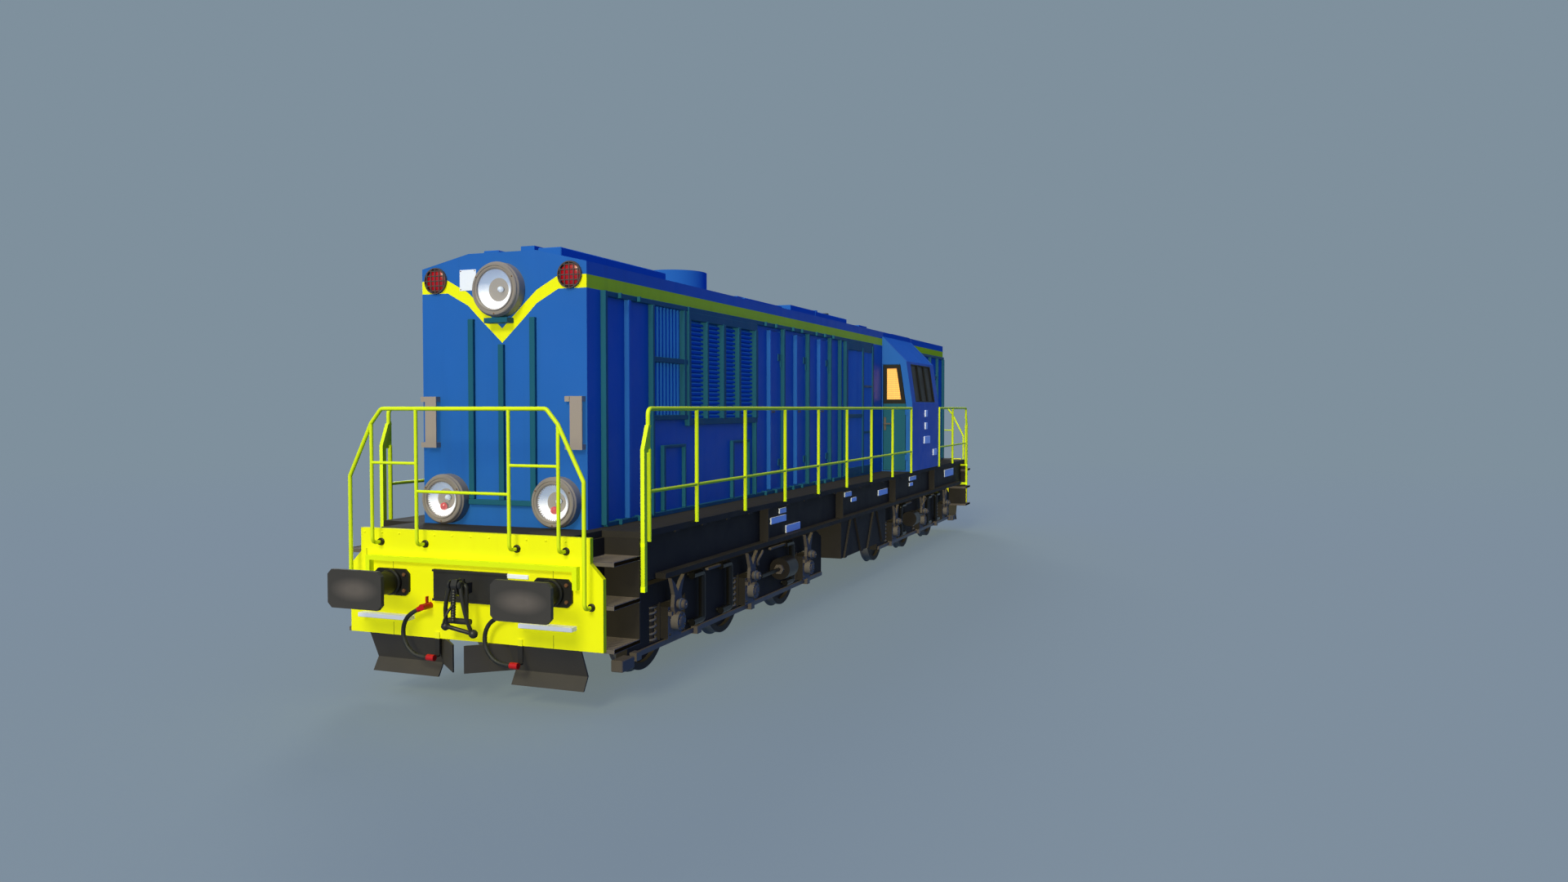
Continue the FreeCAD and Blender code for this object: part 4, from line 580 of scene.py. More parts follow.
def blockPattern():
    # 24 corners of a block with all its edges cut: sign of each, and which axis is at full reach
    signs, reach, faces = [], [], []
    for x in (-1, 1):
        for y in (-1, 1):
            for z in (-1, 1):
                for axis in range(3):
                    signs.append((x, y, z))
                    reach.append([0 if k == axis else 1 for k in range(3)])
    signs, reach = np.array(signs, float), np.array(reach, float)

    def at(sign, axis):
        return int(4 * (sign[0] > 0) + 2 * (sign[1] > 0) + (sign[2] > 0)) * 3 + axis

    for axis in range(3):
        first, second = [k for k in range(3) if k != axis]
        for side in (-1, 1):
            loop = []
            for a, b in ((-1, -1), (1, -1), (1, 1), (-1, 1)):
                sign = [0, 0, 0]
                sign[axis], sign[first], sign[second] = side, a, b
                loop.append(at(sign, axis))
            faces.append(loop)
        for a in (-1, 1):
            for b in (-1, 1):
                ends = []
                for side in (-1, 1):
                    sign = [0, 0, 0]
                    sign[axis], sign[first], sign[second] = side, a, b
                    ends.append(sign)
                faces.append([at(ends[0], first), at(ends[1], first), at(ends[1], second),
                              at(ends[0], second)])
    for k in range(8):
        faces.append([3 * k, 3 * k + 1, 3 * k + 2])
    points = signs * (1 - 0.1 * reach)
    ordered = []
    for loop in faces:
        a, b, c = points[loop[0]], points[loop[1]], points[loop[2]]
        outward = np.dot(np.cross(b - a, c - a), points[loop].mean(axis=0)) > 0
        ordered.append(loop if outward else loop[::-1])
    return signs, reach, ordered


blockSigns, blockReach, blockFaces = blockPattern()


def blocks(name, rows, material, rides=body, cut=0.004):
    # each row is x0, x1, y0, y1, z0, z1; a corner lies at middle + sign * (half - cut)
    rows = np.asarray(rows, float).reshape(-1, 6)
    low, high = np.minimum(rows[:, ::2], rows[:, 1::2]), np.maximum(rows[:, ::2], rows[:, 1::2])
    middle, half = (low + high) / 2, (high - low) / 2
    edge = np.minimum(cut, half.min(axis=1) * 0.45)[:, None, None]
    verts = middle[:, None, :] + blockSigns * (half[:, None, :] - edge * blockReach)
    faces = [[k + 24 * i for k in loop] for i in range(len(rows)) for loop in blockFaces]
    return addMesh(name, verts, faces, material, rides)


def otherSide(rows):
    # the same blocks on the right side too
    rows = np.asarray(rows, float).reshape(-1, 6)
    return np.vstack([rows, rows * [1, 1, -1, -1, 1, 1]])


def otherEnd(rows):
    # the same blocks at the rear too, turned half round
    rows = np.asarray(rows, float).reshape(-1, 6)
    return np.vstack([rows, rows * [-1, -1, -1, -1, 1, 1]])


def pointsBothEnds(points):
    points = np.asarray(points, float).reshape(-1, 3)
    return np.vstack([points, points * [-1, -1, 1]])


def pointsBothSides(points):
    points = np.asarray(points, float).reshape(-1, 3)
    return np.vstack([points, points * [1, -1, 1]])


def sideAxes(axis):
    axis = np.asarray(axis, float)
    axis = axis / np.linalg.norm(axis, axis=-1, keepdims=True)
    helper = np.where(np.abs(axis[..., 2:3]) > 0.9, [1.0, 0, 0], [0, 0, 1.0])
    side = np.cross(helper, axis)
    side = side / np.linalg.norm(side, axis=-1, keepdims=True)
    return side, np.cross(axis, side), axis


def ringFaces(copies, rings, around, closed=False, caps=True):
    # quads between neighbouring rings of every copy, with a polygon at each open end
    spans = rings if closed else rings - 1
    k, m, s = np.meshgrid(np.arange(copies), np.arange(spans), np.arange(around), indexing="ij")
    n, t = (m + 1) % rings, (s + 1) % around
    at = lambda ring, step: (k * rings + ring) * around + step
    quads = np.stack([at(m, s), at(m, t), at(n, t), at(n, s)], axis=-1).reshape(-1, 4)
    faces = quads.tolist()
    if caps and not closed:
        start = np.arange(around)
        for i in range(copies):
            base = i * rings * around
            faces.append((base + start[::-1]).tolist())
            faces.append((base + (rings - 1) * around + start).tolist())
    return faces


def turned(name, profile, places, axis, material, rides=body, around=24, closed=False, sharp=32.0):
    # a profile of radius and height spun about an axis: place + height * axis + radius * direction
    profile, places = np.asarray(profile, float), np.asarray(places, float).reshape(-1, 3)
    side, up, axis = sideAxes(np.broadcast_to(np.asarray(axis, float), places.shape))
    angle = np.arange(around) * 2 * math.pi / around
    spoke = (np.cos(angle)[None, :, None] * side[:, None, :]
             + np.sin(angle)[None, :, None] * up[:, None, :])
    verts = (places[:, None, None, :] + profile[None, :, 1, None, None] * axis[:, None, None, :]
             + profile[None, :, 0, None, None] * spoke[:, None, :, :])
    faces = ringFaces(len(places), len(profile), around, closed)
    return addMesh(name, verts, faces, material, rides, sharp)


def bolts(name, places, axis, material, rides=body, size=0.018, height=0.014):
    # six-sided heads with a rounded top
    profile = [(size, 0), (size, height * 0.75), (size * 0.8, height), (size * 0.2, height)]
    return turned(name, profile, places, axis, material, rides, around=6)


def pipes(name, paths, radius, material, rides=body, around=10, normal=(0, 0, 1), closed=False):
    # a round section carried along each path: point + radius * (cos * side + sin * up)
    paths = np.asarray(paths, float)
    paths = paths[None] if paths.ndim == 2 else paths
    if closed:
        along = np.roll(paths, -1, axis=1) - np.roll(paths, 1, axis=1)
    else:
        along = np.gradient(paths, axis=1)
    along /= np.linalg.norm(along, axis=-1, keepdims=True)
    side = np.cross(np.broadcast_to(np.asarray(normal, float), along.shape), along)
    side /= np.linalg.norm(side, axis=-1, keepdims=True)
    up = np.cross(along, side)
    angle = np.arange(around) * 2 * math.pi / around
    verts = paths[:, :, None, :] + radius * (np.cos(angle)[:, None] * side[:, :, None, :]
                                             + np.sin(angle)[:, None] * up[:, :, None, :])
    faces = ringFaces(paths.shape[0], paths.shape[1], around, closed)
    return addMesh(name, verts, faces, material, rides, 60.0)


# battens on the front hood
battens = {
    "proud": 0.055, "sunk": 0.04, "gutterProud": 0.042, "gutterDeep": 0.05, "runSunk": 0.02,
    # front face and rear face behind the hood's front, foot above the deck
    "posts": [(0.247, 0.290, 0.02), (1.200, 1.243, 0.02), (2.043, 2.103, 0.93),
              (4.980, 5.025, 0.03), (5.975, 6.020, 0.03), (6.977, 7.020, 0.03),
              (7.480, 7.520, 0.03), (7.760, 7.850, 0.03)],
    "louvrePosts": [(2.520, 2.566), (2.975, 3.050), (3.435, 3.500), (3.976, 4.050)],
    "louvreFoot": 1.0, "louvreTop": 2.10, "blindJamb": (1.950, 2.002, 1.04), "blindProud": 0.047,
    "shortPost": (3.974, 4.002, 0.03), "shortTop": 0.95, "run": (0.29, 9.33), "footHigh": 0.045,
    # front and rear end behind the hood's front, low and high edge above the deck
    "ledges": [(1.243, 2.043, 1.000, 1.053), (1.243, 2.043, 1.600, 1.655),
               (2.103, 4.050, 0.940, 1.012), (2.103, 4.050, 2.093, 2.180)],
    "ledgeSunk": 0.03, "ledgeProud": 0.045, "deepGutter": (2.103, 4.050, 2.17), "deepProud": 0.001,
    "cleats": [0.506, 0.888, 4.289, 4.660, 5.307, 5.670, 6.294, 6.673, 7.074],
    "cleatWidth": 0.03, "cleatProud": 0.075, "cleatDrop": 0.004, "cleatFoot": 0.055,
    "doors": [(1.464, 1.995, 0.735), (3.275, 3.813, 0.735)], "jamb": 0.045, "farJamb": 0.03,
    "jambSunk": 0.01, "jambProud": 0.042, "lintel": 0.03, "lintelBack": 0.002, "lintelStart": 0.02,
    "doorSeams": [4.476, 5.479, 6.482], "seam": (0.700, 0.748, 0.045), "seamProud": 0.052,
}


def hoodPost(start, end, foot, top, proud=battens["proud"]):
    front, half = place["hoodFront"], place["hoodHalf"]
    return (front - end, front - start, half - battens["sunk"], half + proud,
            place["deck"] + foot, top)


def makeBattens():
    half, front, deck = place["hoodHalf"], place["hoodFront"], place["deck"]
    band, gutter = stripe["low"], stripe["low"] - battens["gutterDeep"]
    # the first and the third post run up past the gutter to the band
    rows = [hoodPost(start, end, foot, band if k in (0, 2) else gutter)
            for k, (start, end, foot) in enumerate(battens["posts"])]
    rows += [hoodPost(start, end, battens["louvreFoot"], deck + battens["louvreTop"])
             for start, end in battens["louvrePosts"]]
    rows.append(hoodPost(*battens["blindJamb"], gutter, battens["blindProud"]))
    rows.append(hoodPost(*battens["shortPost"], deck + battens["shortTop"]))
    rows += [(front - end, front - start, half - battens["ledgeSunk"], half + battens["ledgeProud"],
              deck + low, deck + high) for start, end, low, high in battens["ledges"]]
    sunk, out, foot = half - battens["runSunk"], half + battens["gutterProud"], battens["footHigh"]
    start, end = battens["run"]
    rows += [(front - end, front - start, sunk, out, low, high)
             for low, high in ((gutter, band), (deck, deck + foot))]
    start, end, low = battens["deepGutter"]
    rows.append((front - end, front - start, sunk, out + battens["deepProud"], deck + low, band))
    wide, out = battens["cleatWidth"], half + battens["cleatProud"]
    for setback in battens["cleats"]:
        x = front - setback
        rows += [(x - wide, x, half, out, gutter - battens["cleatDrop"], band),
                 (x - wide, x, half, out, deck, deck + battens["cleatFoot"])]
    sunk, out, jamb = half - battens["jambSunk"], half + battens["jambProud"], battens["jamb"]
    for start, end, high in battens["doors"]:
        near, far = front - start, front - end
        rows += [(near - jamb, near, sunk, out, deck + foot, deck + high),
                 (far, far + battens["farJamb"], sunk, out, deck + foot, deck + high),
                 (far + battens["lintelStart"], near - jamb, sunk, out - battens["lintelBack"],
                  deck + high - battens["lintel"], deck + high)]
    blocks("hood_battens", otherSide(rows), materials["teal"])
    seam = hoodPost(*battens["seam"], gutter, battens["seamProud"])
    blocks("hood_seam", otherSide([seam]), materials["blue"])


# setbacks behind the cab's rear wall, heights above the deck
rearBattens = {"posts": (0.10, 0.78, 1.46, 2.14, 2.72), "wide": 0.048, "foot": 0.02,
               "run": (0.10, 2.77), "ledges": (0.95, 1.75), "ledgeEnd": 2.14, "ledgeHigh": 0.05,
               "ledgeProud": 0.035}


def makeRearHoodBattens():
    half, deck, rear = place["hoodHalf"], place["deck"], place["cabRear"]
    sunk, out = half - battens["runSunk"], half + battens["gutterProud"]
    gutter = stripe["low"] - battens["gutterDeep"]
    rows = [(rear - setback - rearBattens["wide"], rear - setback, sunk, half + battens["proud"],
             deck + rearBattens["foot"], gutter) for setback in rearBattens["posts"]]
    start, end = rearBattens["run"]
    rows += [(rear - end, rear - start, sunk, out, low, high)
             for low, high in ((gutter, stripe["low"]), (deck, deck + battens["footHigh"]))]
    rows += [(rear - rearBattens["ledgeEnd"], rear - start, sunk, half + rearBattens["ledgeProud"],
              deck + low, deck + low + rearBattens["ledgeHigh"]) for low in rearBattens["ledges"]]
    blocks("rear_hood_battens", otherSide(rows), materials["teal"])


# black sheets behind the louvres stand in for shade
shadeSheets = {"deep": 0.062, "thick": 0.008, "start": 1.20, "behind": 0.02, "low": 0.98, "high": 2.13}


def makeShadeSheets():
    # black sheets inside the hood close the view through the slats: a painted shade behind them
    deck, inner = place["deck"], place["hoodHalf"] - shadeSheets["deep"]
    row = (corner("hood_louvres")[0][0] - shadeSheets["behind"], place["hoodFront"] - shadeSheets["start"],
           inner - shadeSheets["thick"], inner, deck + shadeSheets["low"], deck + shadeSheets["high"])
    blocks("louvre_shade_sheets", otherSide([row]), materials["black"])


makeBattens()
makeRearHoodBattens()
makeShadeSheets()

# setbacks behind the hood's front, heights above the deck
niche = {"start": 8.041, "post": (8.670, 8.730), "end": (9.250, 9.330), "low": 0.16, "high": 2.06,
         "deep": 0.018, "proud": 0.040, "gap": 0.012, "postTop": 2.12, "headStart": 7.850,
         "headTop": 2.18, "railProud": 0.045, "bars": [0.70, 1.47], "barHigh": 0.035,
         "barProud": 0.048, "ledge": (0.965, 1.025)}


def makeNiche():
    # two boards in each bay turned a little to the front, between upright posts
    half, front, deck = place["hoodHalf"], place["hoodFront"], place["deck"]
    inner, outer = half - niche["deep"], half + niche["proud"]
    verts, faces = [], []
    spans = [(niche["start"], niche["post"][0]), (niche["post"][1], niche["end"][0])]
    for side in (1, -1):
        for start, end in spans:
            for part in range(2):
                a = front - start - part * (end - start) / 2
                b = a - (end - start) / 2 + niche["gap"]
                base = len(verts)
                for z in (deck + niche["low"], deck + niche["high"]):
                    verts += [(x, side * y, z) for x, y in ((a, inner), (b, outer), (b, inner))]
                for loop in [(0, 1, 4, 3), (1, 2, 5, 4), (2, 0, 3, 5), (2, 1, 0), (3, 4, 5)]:
                    faces.append([base + k for k in (loop if side < 0 else loop[::-1])])
    first, last, foot = front - niche["headStart"], front - niche["end"][0], battens["footHigh"]
    near, far = (front - setback for setback in niche["post"])
    sunk, rail, bar = half - battens["runSunk"], half + niche["railProud"], half + niche["barProud"]
    low, high = niche["ledge"]
    rows = [hoodPost(*niche["post"], foot, deck + niche["postTop"]),
            hoodPost(*niche["end"], foot, stripe["low"] - battens["gutterDeep"]),
            (first, last, sunk, rail, deck + niche["high"], deck + niche["headTop"]),
            (first, last, sunk, rail, deck + foot, deck + niche["low"]),
            (near, first, sunk, bar, deck + low, deck + high)]
    rows += [(last, far, half, bar, deck + low, deck + low + niche["barHigh"])
             for low in niche["bars"]]
    blocks("niche_posts", otherSide(rows), materials["teal"])
    addMesh("niche_boards", verts, faces, materials["blue"])


makeNiche()
print("hood battens done")

# the hoods' end faces
ends = {"stripWidth": 0.06, "stripProud": 0.035,
        "strips": [(-0.37, 1.976), (-0.03, 1.728), (0.32, 1.976)], "sunk": 0.005, "sill": 0.202,
        "sillHigh": 0.05, "sillProud": 0.01, "visorDeep": 0.11,
        "visor": (-0.13, 0.13, 1.925, 1.975), "plate": (-0.477, -0.29, 2.25, 2.45),
        "plateProud": 0.006, "screwIn": 0.012}
grilles = {"y": 0.75, "z": 0.12, "radius": 0.122, "bars": 5, "spread": 0.78, "barHalf": 0.0055,
           "barShort": 0.002, "upright": (0.020, 0.028), "level": (0.016, 0.024),
           "rim": [(0.0, 0.004), (0.007, 0.008), (0.004, 0.028), (-0.006, 0.028), (-0.006, 0.008)]}


def makeEndTrim():
    face, deck = place["hoodFront"], place["deck"]
    back, out = face - ends["sunk"], face + ends["stripProud"]
    low, high = deck + ends["sill"], deck + ends["sill"] + ends["sillHigh"]
    rows = [(back, out, y, y + ends["stripWidth"], high, deck + top) for y, top in ends["strips"]]
    first, last = ends["strips"][0][0], ends["strips"][2][0] + ends["stripWidth"]
    rows.append((back, out + ends["sillProud"], first, last, low, high))
    y0, y1, z0, z1 = ends["visor"]
    rows.append((back, face + ends["visorDeep"], y0, y1, deck + z0, deck + z1))
    blocks("end_strips", otherEnd(rows), materials["teal"])
    y0, y1, z0, z1 = ends["plate"]
    front, inset = face + ends["plateProud"], ends["screwIn"]
    plate = (face - skin, front, y0, y1, deck + z0, deck + z1)
    blocks("end_plates", otherEnd([plate]), materials["plate"], cut=0.003)
    screws = [(front, y, deck + z) for y in (y0 + inset, y1 - inset)
              for z in (z0 + inset, z1 - inset)]
    turned("plate_screws", [(0.006, 0), (0.006, 0.002), (0.002, 0.0035)], pointsBothEnds(screws),
           endAxes(4), materials["rust"], around=8)


def endAxes(count):
    return np.vstack([np.tile([1.0, 0, 0], (count, 1)), np.tile([-1.0, 0, 0], (count, 1))])


def makeGrilles():
    face, z, radius = place["hoodFront"], place["eave"] - grilles["z"], grilles["radius"]
    middles, axis = pointsBothEnds([(face, grilles["y"], z), (face, -grilles["y"], z)]), endAxes(2)
    well = [(radius, -0.002), (radius, 0.006), (radius - 0.006, 0.008), (0.002, 0.008)]
    turned("grille_wells", well, middles, axis, materials["black"], around=40)
    lens = [(radius * 0.86, 0.008), (radius * 0.80, 0.013), (radius * 0.45, 0.018), (0.004, 0.020)]
    turned("grille_lenses", lens, middles, axis, materials["lensRed"], around=40)
    rim = [(radius + r, h) for r, h in grilles["rim"]]
    turned("grille_rims", rim, middles, axis, materials["bars"], around=40, closed=True)
    rows, half = [], grilles["barHalf"]
    offsets = np.linspace(-grilles["spread"], grilles["spread"], grilles["bars"]) * radius
    for sign in (1, -1):
        upright = [sign * (face + x) for x in grilles["upright"]]
        level = [sign * (face + x) for x in grilles["level"]]
        for middle in (grilles["y"], -grilles["y"]):
            for shift in offsets:
                # chord of the round opening: root of radius squared less shift squared
                reach = math.sqrt(radius ** 2 - shift ** 2) - grilles["barShort"]
                rows += [(*upright, middle + shift - half, middle + shift + half,
                          z - reach, z + reach),
                         (*level, middle - reach, middle + reach, z + shift - half,
                          z + shift + half)]
    blocks("grille_bars", rows, materials["bars"], cut=0.002)


def makeGlossy(name, colour, rough, metal=0.0):
    # small smooth parts: a faint haze in the roughness and a fine grain in the surface
    material, tree, shader = newMaterial(name)
    coords = objectCoords(tree)
    haze = noise(tree, coords, 30.0, 4.0)
    hazed = tuple(0.85 * part for part in colour[:3]) + (1,)
    wire(tree, pick(tree, ramp(tree, haze, 0.4, 0.8), colour, hazed), shader.inputs["Base Color"])
    wire(tree, ramp(tree, haze, 0.3, 0.7, rough * 0.8, rough * 1.3), shader.inputs["Roughness"])
    addRelief(tree, shader, haze, 0.0004, 0.2)
    shader.inputs["Metallic"].default_value = metal
    return material


lamps = {"depth": 0.12, "mainRadius": 0.195, "lowRadius": 0.175, "lowY": 0.62, "lowZ": 0.25,
         "mainDrop": 0.235, "between": 3.0, "bowlBack": 0.022, "bowlDeep": 0.092, "bowlWall": 0.003,
         "bowlInner": 0.012, "bowlIn": 0.008, "bowlReach": 0.005, "bowlPower": 2.2,
         # steps from the mouth's radius and depth
         "rim": [(-0.004, -0.012), (0.052, -0.012), (0.052, 0.004), (0.044, 0.012), (0.026, 0.012),
                 (0.022, 0.006), (0.012, 0.006), (0.008, 0.014), (-0.004, 0.010)],
         "screwAngles": (0.5, 2.6, -math.pi / 2), "screwOut": 0.035, "screwDeep": 0.010,
         "glassIn": 0.001, "glassBulge": 0.010, "glassEdge": 0.006, "glassThick": 0.004,
         "bulbRise": 0.014, "bulbShift": 0.04, "bulbRadius": 0.027, "bulbMiddle": 0.078,
         "bulbHalf": 0.031,
         "seat": [(0.024, 0.020), (0.024, 0.060), (0.018, 0.064), (0.004, 0.064)],
         "redDrop": 0.072, "redShift": 0.012, "redWide": 1.35, "redSeatWide": 1.5, "redSunk": 0.004,
         "redSeatSunk": 0.002}


def makeMirror():
    # reflector: white in its lower half and cool grey in its upper half, a painted reflection, with
    # a faint painted glow
    material, tree, shader = newMaterial("lampMirror")
    coords, z = objectCoords(tree), objectAxes(tree)[2]
    high = calc(tree, "SUBTRACT", z, place["eave"] - lamps["mainDrop"])
    low = calc(tree, "SUBTRACT", z, place["deck"] + lamps["lowZ"])
    # height above each lamp's middle, a little uneven, where the painted reflection turns from
    # white to grey
    cloud = calc(tree, "ADD", pick(tree, above(tree, z, lamps["between"]), low, high),
                 times(tree, noise(tree, coords, 14.0, 2.0), 0.05))
    paintedReflection = pick(tree, ramp(tree, cloud, -0.03, 0.09), tone(250, 250, 250), tone(150, 166, 190))
    wire(tree, paintedReflection, shader.inputs["Base Color"])
    wire(tree, paintedReflection, shader.inputs["Emission Color"])
    shader.inputs["Emission Strength"].default_value = 0.42
    uneven = noise(tree, coords, 9.0, 3.0)
    wire(tree, ramp(tree, uneven, 0.3, 0.7, 0.18, 0.28), shader.inputs["Roughness"])
    return material


def makeGlass(name, colour):
    # thin clear cover: nearly all is seen through it, with a faint film
    material, tree, shader = newMaterial(name)
    coords = objectCoords(tree)
    smear = noise(tree, coords, 6.0, 5.0)
    shader.inputs["Base Color"].default_value = colour
    shader.inputs["Alpha"].default_value = 0.07
    wire(tree, ramp(tree, smear, 0.45, 0.75, 0.03, 0.11), shader.inputs["Roughness"])
    return material


materials["lensRed"] = makeGlossy("redLens", tone(178, 10, 22), 0.3)
materials["bars"] = makeGlossy("grilleBars", tone(84, 68, 62), 0.5)
materials["mirror"] = makeMirror()
materials["bulb"] = makeGlossy("bulbGlass", (0.80, 0.86, 0.92, 1), 0.06)
materials["redBulb"] = makeGlossy("redBulb", tone(225, 20, 16), 0.12)
materials["screw"] = makeGlossy("screwMetal", tone(120, 84, 50), 0.35, 0.6)
materials["lens"] = makeGlass("lampGlass", (0.97, 0.98, 1.0, 1))
makeEndTrim()
makeGrilles()


def lampParts(name, middles, radius, axis, red):
    depth, seat = lamps["depth"], np.array(lamps["seat"])
    # bowl: depth grows as a power of the radius
    r = np.linspace(lamps["bowlInner"], radius - lamps["bowlIn"], 18)
    rise = (r / (radius - lamps["bowlReach"])) ** lamps["bowlPower"]
    bowl = np.stack([r, lamps["bowlBack"] + lamps["bowlDeep"] * rise], axis=1)
    outside = bowl[::-1] - [0, lamps["bowlWall"]]
    turned(name + "_bowls", np.vstack([outside, bowl])[::-1], middles, axis, materials["mirror"],
           around=48, closed=True, sharp=60)
    rim = [(radius + r, depth + h) for r, h in lamps["rim"]]
    turned(name + "_rims", rim[::-1], middles, axis, materials["lampShell"], around=64, closed=True)
    side, up, along = sideAxes(axis)
    spots = [middles + (depth + lamps["screwDeep"]) * along
             + (radius + lamps["screwOut"]) * (math.cos(angle) * side + math.sin(angle) * up)
             for angle in lamps["screwAngles"]]
    turned(name + "_screws", [(0.008, 0), (0.008, 0.003), (0.003, 0.005)], np.vstack(spots),
           np.vstack([axis] * 3), materials["screw"], around=10)
    # glass: bulges by 1 less the square of radius over mouth radius
    r = np.linspace(radius - lamps["glassEdge"], 0.004, 10)
    bulge = lamps["glassBulge"] * (1 - (r / radius) ** 2)
    glassFront = np.stack([r, depth + lamps["glassIn"] + bulge], axis=1)
    glassBack = glassFront[::-1] - [0, lamps["glassThick"]]
    turned(name + "_glass", np.vstack([glassBack, glassFront]), middles, axis, materials["lens"],
           around=48, closed=True, sharp=60)
    t = np.linspace(0, math.pi, 9)[:-1]
    bulb = np.stack([lamps["bulbRadius"] * np.sin(t) + 0.001,
                     lamps["bulbMiddle"] - lamps["bulbHalf"] * np.cos(t)], axis=1)
    bulb = np.vstack([bulb, [(0.0012, lamps["bulbMiddle"] + lamps["bulbHalf"])]])
    spots = middles + (lamps["bulbRise"] if red else 0.0) * up + lamps["bulbShift"] * side
    turned(name + "_bulbs", bulb, spots, axis, materials["bulb"], around=20, sharp=60)
    turned(name + "_sockets", seat, spots, axis, materials["black"], around=20)
    if red:
        spots = middles - lamps["redDrop"] * up - lamps["redShift"] * side
        redBulb = bulb * [lamps["redWide"], 1.0] - [0, lamps["redSunk"]]
        redSeat = seat * [lamps["redSeatWide"], 1.0] - [0, lamps["redSeatSunk"]]
        turned(name + "_red_bulbs", redBulb, spots, axis, materials["redBulb"], around=20, sharp=60)
        turned(name + "_red_sockets", redSeat, spots, axis, materials["black"], around=20)


def makeLamps():
    face, low = place["hoodFront"], place["deck"] + lamps["lowZ"]
    main = pointsBothEnds([(face, 0, place["eave"] - lamps["mainDrop"])])
    pairs = pointsBothEnds([(face, y, low) for y in (-lamps["lowY"], lamps["lowY"])])
    lampParts("main_lamp", main, lamps["mainRadius"], endAxes(1), False)
    lampParts("low_lamp", pairs, lamps["lowRadius"], endAxes(2), True)


makeLamps()
print("ends and lamps done")

# headstocks
beams = {"bars": [(-1.22, -0.63, 0.748), (0.56, 1.11, 0.765)], "barHigh": 0.040, "barProud": 0.085,
         "barSunk": 0.004, "plate": (0.38, 0.62, 1.188, 1.228), "plateSunk": 0.003,
         "plateProud": 0.012, "postY": (1.006, 0.5), "outerY": 1.26, "postDrop": 0.13,
         "outerDrop": 0.11, "boltY": 0.15, "boltZ": 0.075, "boltOut": 0.025,
         "clamp": [(0.036, -0.002), (0.036, 0.010), (0.030, 0.014), (0.0275, 0.030),
                   (0.0195, 0.030), (0.0195, -0.002)],
         "collar": [(0.105, 0.025), (0.122, 0.025), (0.122, 0.055), (0.112, 0.065), (0.105, 0.065)],
         "band": [(0.105, 0.29), (0.116, 0.295), (0.116, 0.325), (0.105, 0.33)],
         # near and far edge from the middle, low and high end above the foot or the sill
         "seams": [("foot", 0.87, 0.874, 0.0, 0.12), ("sill", 0.87, 0.874, 0.11, 0.19),
                   ("sill", 1.18, 1.184, 0.20, 0.30)], "seamSunk": 0.002, "seamProud": 0.0015,
         "rivets": 13, "rivetSpan": 1.2, "rivetDrop": 0.045,
         "rivet": [(0.011, 0), (0.010, 0.004), (0.006, 0.008), (0.001, 0.0095)]}


def makeHeadstockTrim():
    face, y, z = place["headFace"], place["bufferY"], place["bufferZ"]
    rows = [(face - beams["barSunk"], face + beams["barProud"], y0, y1, low, low + beams["barHigh"])
            for y0, y1, low in beams["bars"]]
    rows.append((face - beams["plateSunk"], face + beams["plateProud"], *beams["plate"]))
    blocks("headstock_plates", otherEnd(rows), materials["plate"], cut=0.003)
    feet = [(face, sign * across, place["deck"] - beams["postDrop"])
            for across in beams["postY"] for sign in (1, -1)]
    feet += [(face, sign * beams["outerY"], place["sill"] - beams["outerDrop"]) for sign in (1, -1)]
    turned("rail_clamps", beams["clamp"][::-1], pointsBothEnds(feet), endAxes(6),
           materials["black"], around=20, closed=True)
    spots = [(face + beams["boltOut"], side * (y + a), z + b) for side in (1, -1)
             for a in (-beams["boltY"], beams["boltY"]) for b in (-beams["boltZ"], beams["boltZ"])]
    bolts("buffer_bolts", pointsBothEnds(spots), endAxes(8), materials["rust"],
          size=0.019, height=0.018)
    mouths = pointsBothEnds([(face, side * y, z) for side in (1, -1)])
    for name, profile in (("buffer_collars", beams["collar"]), ("buffer_bands", beams["band"])):
        turned(name, profile[::-1], mouths, endAxes(2), materials["black"], around=40, closed=True)
    seams = [(face - beams["seamSunk"], face + beams["seamProud"], sign * near, sign * far,
              place[level] + low, place[level] + high)
             for sign in (1, -1) for level, near, far, low, high in beams["seams"]]
    blocks("headstock_seams", otherEnd(seams), materials["seam"], cut=0.0004)
    count, span = beams["rivets"], beams["rivetSpan"]
    level = place["deck"] - beams["rivetDrop"]
    rivets = [(face, across, level) for across in np.linspace(-span, span, count)]
    turned("headstock_rivets", beams["rivet"], pointsBothEnds(rivets), endAxes(count),
           materials["yellow"], around=10, sharp=60)


# olive strips in the joints of the beam's plates: a painted shade of the yellow
materials["seam"] = paint("seamPaintedShade", tone(90, 110, 20), dust=0.05, gloss=0.6)
makeHeadstockTrim()

